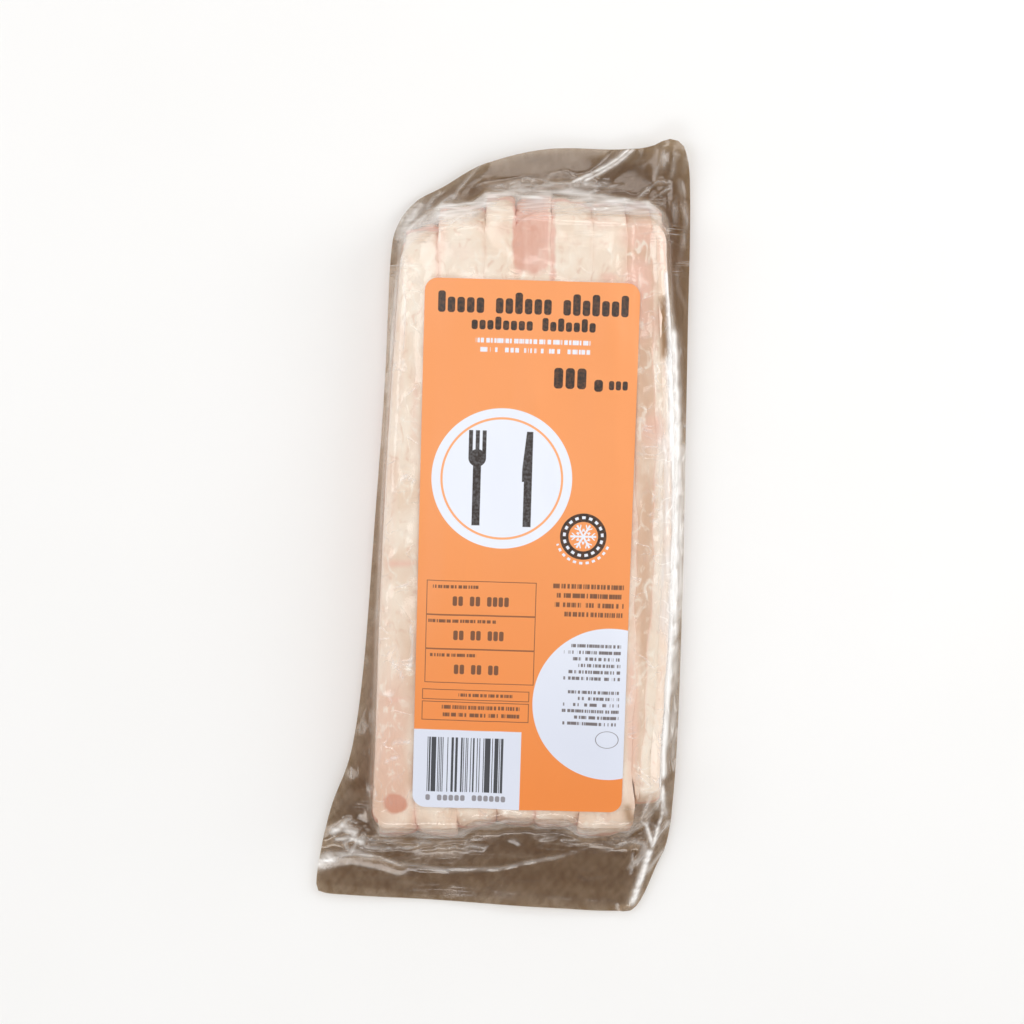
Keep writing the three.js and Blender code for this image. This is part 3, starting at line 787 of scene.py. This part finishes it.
def sheet_between(name, x, y, top_z, under_z, coarse):
    """A closed body between two heights over a grid, its underside on every coarse-th line."""
    rows, columns = x.shape
    ids = np.arange(rows * columns).reshape(rows, columns)
    low = ids[::coarse, ::coarse]
    under = np.arange(low.size).reshape(low.shape) + rows * columns
    faces = grid_faces(ids.T).tolist() + grid_faces(under).tolist()
    edges = (
        (ids[0], under[0]),
        (ids[:, -1], under[:, -1]),
        (ids[-1, ::-1], under[-1, ::-1]),
        (ids[::-1, 0], under[::-1, 0]),
    )
    for fine, wide in edges:
        for k in range(len(wide) - 1):
            run = fine[k * coarse : (k + 1) * coarse + 1]
            faces.append([wide[k], wide[k + 1], *run[::-1].tolist()])
    points = np.vstack((
        np.column_stack((x.ravel(), y.ravel(), top_z)),
        np.column_stack((x[::coarse, ::coarse].ravel(), y[::coarse, ::coarse].ravel(), under_z)),
    ))
    return mesh_object(name, points, np.array(faces, dtype=object))


def trimmed(sheet, outline, name):
    """A sheet cut to an outline, as a plain mesh."""
    count = len(outline)
    low, high = -30.0, 60.0
    points = [(px, py, z) for z in (low, high) for px, py in outline]
    faces = [tuple(range(count))[::-1], tuple(range(count, 2 * count))]
    faces += [(k, (k + 1) % count, (k + 1) % count + count, k + count) for k in range(count)]
    prism = mesh_object(name + "_cutter", points, np.array([list(f) for f in faces], dtype=object))
    cut = sheet.modifiers.new("trim", "BOOLEAN")
    cut.operation = "INTERSECT"
    cut.solver = "MANIFOLD"
    cut.object = prism
    evaluated = sheet.evaluated_get(bpy.context.evaluated_depsgraph_get())
    mesh = bpy.data.meshes.new_from_object(evaluated)
    for helper in (sheet, prism):
        bpy.data.objects.remove(helper)
    made = bpy.data.objects.new(name, mesh)
    mesh.name = name
    mesh.shade_smooth()
    mesh.set_sharp_from_angle(angle=math.radians(55))
    bpy.context.scene.collection.objects.link(made)
    return made


def film_top(x, y):
    """The upper web."""
    distance, slope = from_block(x, y)
    pressed = under_label(x, y)
    block = top_of_slices(x, y, FILM_SAG) + relief(x, y) * (1 - 0.8 * pressed)
    wall = block - fall(distance, slope, SHOULDER)
    height = soft_max(wall, margin_z(x, y, distance) + web_gap(x, y) / 2, MARGIN_BLEND)
    return height + small_creases(x, y) * (1 - pressed)


def film_under(x, y):
    """The lower web: flat where the slices rest on it."""
    distance, slope = from_block(x, y)
    wall = fall(distance, slope, UNDER_SHOULDER)
    loose = soft_min(wall, margin_z(x, y, distance) - web_gap(x, y) / 2, MARGIN_BLEND)
    return np.where(wall > 0, np.maximum(loose, 0), 0)


GRID_RIGHT, GRID_HALF_LENGTH = 82.0, 165.0  # the limits of the grid that the bag is cut from
GRID_PAST_EDGE = 1.5  # on the left, where the lines spread from just outside the bag's own edge
LEFT_EDGE = OUTLINE[[0, 29, 28, 27, 26, 25, 24, 23]]  # from foot to head
COARSE = 3  # the lower web has a third of the upper web's lines each way


def grid_lines(near, inner, counts):
    """Lines from the first limit, over both walls of the block, to the last limit: a constant, and
    their shares of the first limit, of both block edges and of the last limit. The counts are those
    in a margin, over a wall, between the walls, over a wall and in a margin, where a wall's lines run
    from near outside the block's edge to inner inside it."""
    stops = np.array((
        (0, 1, 0, 0, 0),
        (-near, 0, 1, 0, 0),
        (inner, 0, 1, 0, 0),
        (-inner, 0, 0, 1, 0),
        (near, 0, 0, 1, 0),
        (0, 0, 0, 0, 1),
    ))
    runs = []
    for start, stop, count in zip(stops[:-1], stops[1:], counts):
        runs.append(np.linspace(start, stop, count, endpoint=stop[4] == 1))
    return np.vstack(runs)


def crossings(columns, rows):
    """Where lines along the pack meet lines across it. Each bends with the other."""
    start = np.linspace(-GRID_HALF_LENGTH, GRID_HALF_LENGTH, len(rows))
    y = np.repeat(start[:, None], len(columns), axis=1)
    const_x, first_x, left_x, right_x, last_x = columns.T
    const_y, first_y, foot_y, head_y, last_y = rows.T[:, :, None]
    for _ in range(7):
        edge = np.interp(y, LEFT_EDGE[:, 1], LEFT_EDGE[:, 0]) - GRID_PAST_EDGE
        x = const_x + first_x * edge + left_x * seam_x(0, y) + right_x * seam_x(SLICE_COUNT, y)
        x = x + last_x * GRID_RIGHT
        y = const_y + (last_y - first_y) * GRID_HALF_LENGTH + foot_y * foot_end(x) + head_y * head_end(x)
    return x, y


BAG_COLUMNS = grid_lines(4.5, 5.5, (29, 19, 127, 19, 11))
BAG_ROWS = grid_lines(15.0, 5.5, (46, 34, 180, 34, 34))


def bag_shape():
    x, y = crossings(BAG_COLUMNS, BAG_ROWS)
    low_x, low_y = x[::COARSE, ::COARSE].ravel(), y[::COARSE, ::COARSE].ravel()
    top_z, under_z = film_top(x.ravel(), y.ravel()), film_under(low_x, low_y)
    sheet = sheet_between("bag_blank", x, y, top_z, under_z, COARSE)
    return trimmed(sheet, RIM, "clear_bag")


def crests(film, scale, stretch, width):
    """Thin crooked lines, as fine wrinkles run: 1 on a line and 0 off it."""
    base = film.noise(scale, 1.0, stretch, 0.6, "2D")
    return (1.0 - abs(base - 0.5) * (1 / width)).above(0.0)


# The shares of red, green and blue light that the film lets by: over the slices, in the loose margin
# and deep in the fold on the right.
CLEAR_PASSES = (0.985, 0.98, 0.97, 1)
SMOKY_PASSES = (0.56, 0.455, 0.335, 1)
DEEP_PASSES = (0.53, 0.425, 0.31, 1)
FILM_ROUGHNESS = 0.13


def film_finish():
    """Clear film: it shows what lies behind it, browned where two loose webs lie on each other, and
    white in milky streaks and painted highlights.
    """
    film = Finish("vacuum_film")
    clear, smoky, deep = (
        film.node("ShaderNodeBsdfTransparent", None, {"Color": passes})
        for passes in (CLEAR_PASSES, SMOKY_PASSES, DEEP_PASSES)
    )
    # White diffuse layer: milky film, and painted highlights on creases, wrinkles and the right wall.
    haze_and_highlights = film.node("ShaderNodeBsdfDiffuse", None, {"Color": rgb(253, 250, 247)})
    end_lines = crests(film, 480.0, (0.1, 1, 1), 0.06) * film.field("end_slack")
    side_lines = crests(film, 300.0, (1, 0.14, 1), 0.07) * film.field("side_slack")
    crinkles = crests(film, 130.0, (0.7, 1, 1), 0.032) * film.field("crinkle")
    wrinkles = end_lines + side_lines + crinkles
    normal = film.bump(film.field("swells") * 0.7 + wrinkles * 0.22, 0.0012, 0.6)
    gloss_values = {"Color": (1, 1, 1, 1), "Roughness": FILM_ROUGHNESS, "Normal": normal}
    gloss = film.node("ShaderNodeBsdfAnisotropic", None, gloss_values)
    # The smoky share also carries painted shade over hollows.
    body = film.layered(film.field("margin"), clear, smoky)
    body = film.layered(film.field("deep"), body, deep)
    # The fine wrinkles are whitened as well: painted glints.
    haze_and_glints = film.field("haze_and_highlights") + wrinkles * 0.33
    body = film.layered(haze_and_glints.below(0.95), body, haze_and_highlights)
    facing = film.node("ShaderNodeLayerWeight", None, {"Blend": 0.5, "Normal": normal}, output="Facing")
    mirrored = 0.06 * (1 - film.field("deep")) + 0.85 * facing**5.0
    return film.show(film.layered(mirrored, body, gloss))


def film_fields(x, y):
    """The fields that the film's finish reads."""
    plan = np.column_stack((x, y))
    distance, slope = from_block(x, y)
    at_end = (SIDE_SLOPE - np.degrees(slope)) / (SIDE_SLOPE - END_SLOPE)
    end_share = smooth(np.abs(y + 2), 100, 118)
    foot_part = smooth(-y, 60, 120)
    clear_of_label = 1 - under_label(x, y)

    # The smoky margin starts a little way down the walls, and is blotchy.
    start = 1.4 + (6.5 - 3.2 * foot_part) * at_end
    margin = smooth(distance - start, 0, 2.2 + (0.8 + 1.6 * foot_part) * at_end)
    sizes = ((12, 0.4), (5, 0.4), (2, 0.3))
    blotches = sum(uneven(plan, size, 30 + size) * share for size, share in sizes)
    head_right = smooth(x, 20, 65) * smooth(y, 60, 130)
    browning = 0.82 + 0.13 * head_right + 0.02 * foot_part + (0.1 + 0.1 * foot_part) * blotches
    hollow_shade = along_paths(x, y, SHADED_HOLLOWS)
    right_margin = smooth(x - seam_x(SLICE_COUNT, y), 1.5, 4.5) * smooth(y, 30, 62)

    # It is white in streaks, on the ends' slopes, on creases and along the paths above: partly milky
    # film and partly painted highlights.
    across_streaks = uneven(plan * (0.2, 1), 2.2, 51)
    along_streaks = uneven(plan * (1, 0.12), 2.0, 53)
    streaky = 0.85 + 0.3 * (along_streaks + (across_streaks - along_streaks) * end_share)
    veil_streaks = (0.75 + 0.3 * uneven(plan * (0.1, 1), 1.7, 52)).clip(0.1, 1.2)
    haze_and_glints = 0.62 * smooth(distance, -1.0, 3.0) * (1 - smooth(distance, 7.6, 9.4)) * at_end
    beside_block = np.maximum(seam_x(0, y) - x, x - seam_x(SLICE_COUNT, y))
    haze_and_glints = haze_and_glints * (1 - 0.8 * smooth(beside_block, -8, 3)) * (1 - 0.35 * foot_part)
    haze_and_glints = haze_and_glints * (0.85 + 0.4 * uneven(plan * (1, 0.4), 26.0, 55)).clip(0.2, 1.2)
    creased = np.clip(small_creases(x, y) * clear_of_label, 0, 1)
    haze_and_highlights = 0.01 + haze_and_glints * veil_streaks + along_paths(x, y, HAZE_AND_HIGHLIGHT_PATHS) * streaky + 0.3 * creased

    # It is slack, so finely wrinkled, in patches near the block's edge.
    near_edge = np.exp(-(((distance - 4) / 8) ** 2))
    patches = smooth(uneven(plan * (0.4, 1), 9.0, 61), -0.1, 0.5) * clear_of_label
    crinkle_patches = smooth(uneven(plan, 14.0, 63), -0.2, 0.7) * clear_of_label
    right_or_foot = np.clip(0.15 + 0.6 * smooth(x, 0, 40) + smooth(-y, 60, 100), 0, 1)
    side_slack = (1 - end_share) * (0.2 + 0.8 * near_edge) * patches * right_or_foot
    return {
        # Over hollows the smoky share is raised: painted shade.
        "margin": np.maximum(margin * browning.clip(0.66, 1), hollow_shade),
        "deep": 0.9 * right_margin * (1 - smooth(y, 128, 145)),
        "swells": 0.5 + 0.12 * uneven(plan * (1, 0.6), 17.0, 41),
        "haze_and_highlights": np.clip(haze_and_highlights, 0, 0.95) * (1 - hollow_shade),
        "end_slack": end_share * (0.06 + 0.94 * near_edge) * patches,
        "side_slack": side_slack * (1 - 0.8 * smooth(y, 50, 90)),
        "crinkle": 0.8 * (1 - end_share) * crinkle_patches * (1 - margin),
    }


bag = bag_shape()
for field_name, values in film_fields(*points_of(bag)[:, :2].T).items():
    set_field(bag, field_name, values)
bag.data.materials.clear()
bag.data.materials.append(film_finish())
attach(bag, "root")
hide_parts("pouch")

# ---- Sticker ------------------------------------------------------------------------------------
# A long satin sticker, pressed on after the bag was sealed. It follows the slices a little. Its
# print is fields of orange, white and dark brown, with plain bars where words would stand.

LABEL_CORNER = 5.0
LABEL_THICKNESS = 0.4
LABEL_GAP = 0.35  # over the film
LABEL_SAG = 0.3  # the share of a groove that the sticker follows
LABEL_CELLS = (54, 132)  # across and along
# Faint creases in the sticker, as half width, rise and path from its middle.
LABEL_CREASES = (
    (1.1, 0.36, ((-22.5, 3), (-23.5, -12), (-21.0, -30))),
    (1.0, 0.32, ((12, 42), (10, 30), (7, 22))),
    (1.3, 0.28, ((-30, -20), (-10, -27), (14, -24))),
    (1.2, 0.25, ((-36, -60), (-20, -54), (8, -58))),
    (1.3, 0.25, ((20, 70), (38, 62))),
    (1.1, 0.26, ((2, 66), (3.5, 48), (1.0, 30))),
    (1.2, 0.24, ((14, -86), (12.5, -100))),
)


def label_outline():
    """The sticker's edge: a rectangle with round corners, counter-clockwise."""
    loop = []
    for k, (right, up) in enumerate(((1, -1), (1, 1), (-1, 1), (-1, -1))):
        for t in np.linspace(0, 1, 9):
            angle = math.pi / 2 * (k - 1 + t)
            u = right * (LABEL_SIZE[0] / 2 - LABEL_CORNER) + LABEL_CORNER * math.cos(angle)
            v = up * (LABEL_SIZE[1] / 2 - LABEL_CORNER) + LABEL_CORNER * math.sin(angle)
            loop.append((u, v))
    return np.array(loop)


def off_label(u, v):
    """The point of the pack under a point of the sticker."""
    c, s = math.cos(LABEL_TURN), math.sin(LABEL_TURN)
    return LABEL_MIDDLE[0] + u * c - v * s, LABEL_MIDDLE[1] + u * s + v * c


def label_shape():
    half_u, half_v = LABEL_SIZE[0] / 2 + 1, LABEL_SIZE[1] / 2 + 1
    across = np.linspace(-half_u, half_u, LABEL_CELLS[0] + 1)
    u, v = np.meshgrid(across, np.linspace(-half_v, half_v, LABEL_CELLS[1] + 1))
    x, y = off_label(u, v)
    flat_x, flat_y = x.ravel(), y.ravel()
    under = top_of_slices(flat_x, flat_y, LABEL_SAG) + 0.2 * relief(flat_x, flat_y) + LABEL_GAP
    creases = sum(ridge(u.ravel(), v.ravel(), *crease) for crease in LABEL_CREASES)
    sheet = sheet_between("sticker_blank", x, y, under + LABEL_THICKNESS + creases, under, 1)
    made = trimmed(sheet, np.column_stack(off_label(*label_outline().T)), "sticker")
    at = points_of(made)
    u, v = on_label(at[:, 0], at[:, 1])
    layer = made.data.uv_layers.new(name="print")
    corners = np.zeros(len(made.data.loops), int)
    made.data.loops.foreach_get("vertex_index", corners)
    print_uv = np.column_stack((u / LABEL_SIZE[0] + 0.5, v / LABEL_SIZE[1] + 0.5))
    layer.uv.foreach_set("vector", print_uv[corners].astype(np.float32).ravel())
    return made


class Print:
    """The sticker's print, on sizes in millimetres from its middle."""

    EDGE = 0.1  # half the width of a printed edge

    def __init__(self, finish):
        self.finish = finish
        uv = finish.node("ShaderNodeUVMap", {"uv_map": "print"})
        self.u = (finish.node("ShaderNodeSeparateXYZ", None, {0: uv}) - 0.5) * LABEL_SIZE[0]
        self.v = (finish.node("ShaderNodeSeparateXYZ", None, {0: uv}, 1) - 0.5) * LABEL_SIZE[1]

    def inside(self, depth):
        return depth.step(-self.EDGE, self.EDGE)

    def depth(self, left, right, low, high):
        """How deep a point lies in an upright rectangle."""
        across = (right - left) / 2 - abs(self.u - (left + right) / 2)
        return across.below((high - low) / 2 - abs(self.v - (low + high) / 2))

    def bar(self, *box):
        return self.inside(self.depth(*box))

    def outline(self, *box):
        return self.inside(0.15 - abs(self.depth(*box) - 0.15))

    def disc(self, middle_u, middle_v, radius, flat=1.0):
        u, v = self.u - middle_u, (self.v - middle_v) * flat
        return radius - (u * u + v * v) ** 0.5

    def draw(self, number, seed):
        """A seeded value from 0 to 1 for each whole number."""
        inputs = {"W": number + seed}
        return self.finish.node("ShaderNodeTexWhiteNoise", {"noise_dimensions": "1D"}, inputs)

    def letters(self, left, foot, count, pitch, height, seed, spaces=(), uneven_height=0.28):
        """A row of round-cornered strokes, as bold words look from a step away."""
        along = (self.u - left) / pitch
        number = along.math("FLOOR", along)
        half = height / 2 * (1 - uneven_height * self.draw(number, seed).step(0.3, 0.31))
        corner = 0.3 * pitch
        out_u = (abs(along - number - 0.5) * pitch - 0.09 * pitch).above(0.0)
        out_v = (abs(self.v - foot - half) - half + corner).above(0.0)
        shown = self.inside(corner - (out_u * out_u + out_v * out_v) ** 0.5)
        shown = shown * along.step(0.0, 0.01) * (count - along).step(0.0, 0.01)
        for space in spaces:
            shown = shown * abs(number - space).step(0.4, 0.5)
        return shown

    def small_print(self, left, right, low, high, rows, seed, size=0.8, ragged=0.3):
        """Rows of fine broken strokes, level at the right, as small print looks."""
        across = (right - self.u) / (right - left)
        down = (high - self.v) * (rows / (high - low))
        row = down.math("FLOOR", down)
        reach = 1 - ragged * self.draw(row, seed)
        shown = across.step(0.0, 0.01) * (reach - across).step(0.0, 0.01)
        shown = shown * down.step(0.0, 0.01) * (rows - down).step(0.0, 0.01)
        at = self.finish.node("ShaderNodeCombineXYZ", None, {0: self.u / size, 1: row * 7.3 + seed})
        strokes = {"Vector": at, "Scale": 1.0, "Detail": 1.0}
        broken = self.finish.node("ShaderNodeTexNoise", {"noise_dimensions": "2D"}, strokes)
        return shown * (0.25 - abs(down - row - 0.5)).step(-0.05, 0.05) * broken.step(0.42, 0.5)


def join_all(masks):
    total = masks[0]
    for mask in masks[1:]:
        total = total.above(mask)
    return total


def words(art):
    """Bold strokes for a headline, a line below it and a weight."""
    return join_all([
        art.letters(-37.5, 93.2, 20, 3.8, 8.4, 4, (5, 12)),
        art.letters(-24.0, 86.8, 16, 3.1, 5.2, 9, (8,)),
        art.letters(9.0, 64.4, 3, 4.6, 8.2, 2, (), 0.0),
        art.letters(25.0, 63.6, 1, 4.4, 6.6, 2),
        art.letters(31.0, 64.4, 3, 2.7, 3.6, 6, (), 0.0),
    ])


def knife_and_fork(art):
    blade = art.bar(-2.0, 2.0, 27.0, 47.0) * (art.u - art.v * 0.1 + 5.2).step(-0.1, 0.1)
    tines = [art.bar(-20.8 + 2.7 * k, -19.2 + 2.7 * k, 36.0, 47.0) for k in (-1, 0, 1)]
    root = art.inside(art.disc(-20.0, 36.0, 3.5))
    handles = [art.bar(-1.2, 2.0, 9.0, 27.2), art.bar(-21.6, -18.4, 9.0, 34.0)]
    return join_all([blade, root] + tines + handles)


MARK_U, MARK_V = 23.2, 5.8
MARK_RING = 7.6  # radius of the ring's middle


def star_in_ring(art):
    """A dark ring, and the white star, dashes on the ring and arc of dashes below it."""
    u, v = art.u - MARK_U, art.v - MARK_V
    angle = v.math("ARCTAN2", v, u)
    away = (u * u + v * v) ** 0.5
    ring = art.inside(1.7 - abs(away - MARK_RING))
    dashes = art.inside(0.55 - abs(away - MARK_RING)) * angle.math("SINE", angle * 17.0).step(-0.2, 0.2)
    arc = art.inside(0.5 - abs(away - 10.7)) * angle.math("SINE", angle * 26.0).step(-0.2, 0.2)
    arc = arc * (-0.3 - v / away).step(-0.02, 0.02)
    sixth = math.pi / 3
    folded = abs(angle.math("WRAP", angle, sixth / 2, -sixth / 2)) * away
    arms = art.inside(0.4 - folded) * (5.2 - away).step(-0.1, 0.1)
    twigs = art.inside(0.32 - abs(away.math("WRAP", away - 3.0 - folded * 1.2, 0.9, -0.9)))
    twigs = twigs * (1.5 - folded).step(-0.1, 0.1)
    twigs = twigs * (5.0 - away).step(-0.1, 0.1) * (away - 2.0).step(-0.1, 0.1)
    return ring, join_all([arms, twigs, dashes, arc])


TABLE_TOP, ROW = -13.4, 13.9


def small_lines(art):
    """The ruled table and frames, the short entries in them, and rows of small print."""
    masks = [art.outline(-39.6, 3.6, -62.0, -57.7), art.outline(-39.6, 3.6, -70.5, -62.7)]
    masks.append(art.inside(0.15 - abs(art.disc(35.5, -76.5, 4.6, 1.35))))
    for k, heading_end in enumerate((-18.0, -10.0, -18.0)):
        top = TABLE_TOP - ROW * k
        masks.append(art.outline(-38.8, 5.2, top - ROW, top))
        masks.append(art.letters(-28.5 + 0.6 * k, top - 10.2, 10 - k, 2.3, 3.9, 3 + k, (2, 5), 0.0))
        masks.append(art.small_print(-38.0, heading_end, top - 3.8, top - 1.2, 1, 3 + k, 1.0, 0.1))
    masks += [
        art.small_print(-32.0, -3.0, -61.2, -58.6, 1, 13),
        art.small_print(-35.0, 0.0, -69.6, -63.4, 2, 21),
        art.small_print(7.4, 40.5, -27.5, -12.5, 4, 34),
        art.small_print(16.5, 40.0, -53.0, -37.0, 6, 55),
        art.small_print(16.5, 40.0, -71.5, -56.0, 6, 61),
        art.letters(-37.5, -103.6, 14, 2.35, 2.4, 7, (1, 7), 0.0) * 0.8,
    ]
    return join_all(masks)


STRIPES = (-36.9, -6.2, -99.9, -77.4)  # left, right, low and high side of the block of stripes
STRIPE = 0.323  # the width of one


def sticker_finish():
    """Satin print: orange ground, two white plates, dark strokes in place of words, plain signs."""
    finish = Finish("sticker_print")
    art = Print(finish)
    white = finish.blend(rgb(219, 223, 236), rgb(235, 239, 249), art.v.step(-80.0, 0.0))
    ground = finish.blend(rgb(236, 138, 68), rgb(245, 159, 99), art.v.step(-100.0, 25.0))
    plate = art.disc(-10.0, 28.0, 28.0)
    plates = art.inside(plate.above(art.disc(36.0, -62.0, 31.0)))
    colour = finish.blend(ground, white, plates.above(art.bar(-45.0, 0.9, -110.0, -74.4)))
    colour = finish.blend(colour, rgb(250, 172, 118), art.inside(0.45 - abs(plate - 4.0)))

    ring, star = star_in_ring(art)
    worn = finish.noise(900.0, 3.0).step(0.3, 0.62)
    dark = join_all([words(art), knife_and_fork(art), ring])
    colour = finish.blend(colour, rgb(58, 50, 46), dark * (0.9 + worn * 0.1))
    colour = finish.blend(colour, rgb(84, 66, 56), small_lines(art) * 0.85)
    number = art.u.math("FLOOR", (art.u - STRIPES[0]) / STRIPE)
    stripes = art.bar(*STRIPES) * (art.draw(number, 0.0) - 0.48).step(0.0, 0.01)
    colour = finish.blend(colour, rgb(40, 39, 42), stripes * 0.94)
    thin = art.small_print(-23.0, 23.6, 77.2, 84.4, 2, 89, 1.1, 0.08)
    colour = finish.blend(colour, white, thin.above(star))
    height = finish.noise(700.0, 3.0) * 0.03 + finish.noise(40.0, 2.0) * 0.5
    return finish.surface(colour, 0.38, 0.45, finish.bump(height, 0.0012, 0.5))


sticker = label_shape()
sticker.data.materials.clear()
sticker.data.materials.append(sticker_finish())
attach(sticker, "root")
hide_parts("label")

# ---- Floor, light and camera --------------------------------------------------------------------
# A plain pale floor under soft light. Two long lights at the sides draw the film's creases.

FLOOR_HALF = 2.5  # metres
FLOOR_DROP = 0.0004


def floor_plane():
    corners = ((-1, -1), (1, -1), (1, 1), (-1, 1))
    points = [(right * FLOOR_HALF, ahead * FLOOR_HALF, -FLOOR_DROP) for right, ahead in corners]
    plane = mesh_object("floor", np.array(points) / MM, [(0, 1, 2, 3)])
    pale = Finish("floor_paint")
    colour = pale.blend(rgb(244, 243, 241), rgb(248, 247, 246), pale.noise(8.0, 2.0))
    inputs = {"Base Color": colour, "Roughness": 0.8}
    plane.data.materials.append(pale.show(pale.node("ShaderNodeBsdfPrincipled", None, inputs)))
    return plane


def area_light(name, place, target, size, power):
    lamp = bpy.data.lights.new(name, "AREA")
    lamp.shape = "RECTANGLE"
    lamp.size, lamp.size_y = size
    lamp.energy = power
    made = bpy.data.objects.new(name, lamp)
    made.location = place
    made.rotation_euler = (Vector(target) - Vector(place)).to_track_quat("-Z", "Y").to_euler()
    bpy.context.scene.collection.objects.link(made)


floor_plane()
area_light("head_panel", (0.1, 0.55, 1.45), (0, 0.05, 0), (0.8, 0.5), 2.6)
area_light("left_strip", (-0.75, 0.15, 0.95), (0, 0, 0), (0.42, 1.1), 3.35)
area_light("right_strip", (0.95, 0.2, 0.52), (0, 0, 0), (0.42, 1.1), 4.4)
area_light("head_strip", (0.1, 0.95, 0.8), (0, 0, 0), (1.0, 0.26), 2.4)
area_light("foot_strip", (-0.2, -0.95, 0.9), (0, 0, 0), (0.9, 0.24), 2.9)


SIDE_GLOW, TOP_GLOW = 0.93, 0.25


def room():
    """Soft light all round, brightest from the sides."""
    world = bpy.data.worlds.new("pale_room")
    world.use_nodes = True
    tree = world.node_tree
    direction = tree.nodes.new("ShaderNodeTexCoord").outputs["Generated"]
    split = tree.nodes.new("ShaderNodeSeparateXYZ")
    tree.links.new(direction, split.inputs[0])
    height = tree.nodes.new("ShaderNodeMapRange")
    height.inputs[3].default_value, height.inputs[4].default_value = SIDE_GLOW, TOP_GLOW
    tree.links.new(split.outputs["Z"], height.inputs[0])
    background = tree.nodes["Background"]
    background.inputs["Color"].default_value = (1, 1, 1, 1)
    tree.links.new(height.outputs[0], background.inputs["Strength"])
    return world


bpy.context.scene.world = room()
bpy.context.scene.view_settings.view_transform = "Standard"

CAMERA_AIM = Vector((0.0052, 0.0095, 0.0))
CAMERA_DISTANCE = 0.65
CAMERA_LEAN = math.radians(5.4)  # from straight above, towards the head of the pack
CAMERA_LENS, CAMERA_SENSOR = 54.7, 36.0
camera_data = bpy.data.cameras.new("camera")
camera_data.lens = CAMERA_LENS
camera_data.sensor_width = CAMERA_SENSOR
camera_data.clip_start = 0.01
camera = bpy.data.objects.new("camera", camera_data)
towards_camera = Vector((0, math.sin(CAMERA_LEAN), math.cos(CAMERA_LEAN)))
camera.location = CAMERA_AIM + CAMERA_DISTANCE * towards_camera
camera.rotation_euler = (-CAMERA_LEAN, 0, 0)
bpy.context.scene.collection.objects.link(camera)
bpy.context.scene.camera = camera
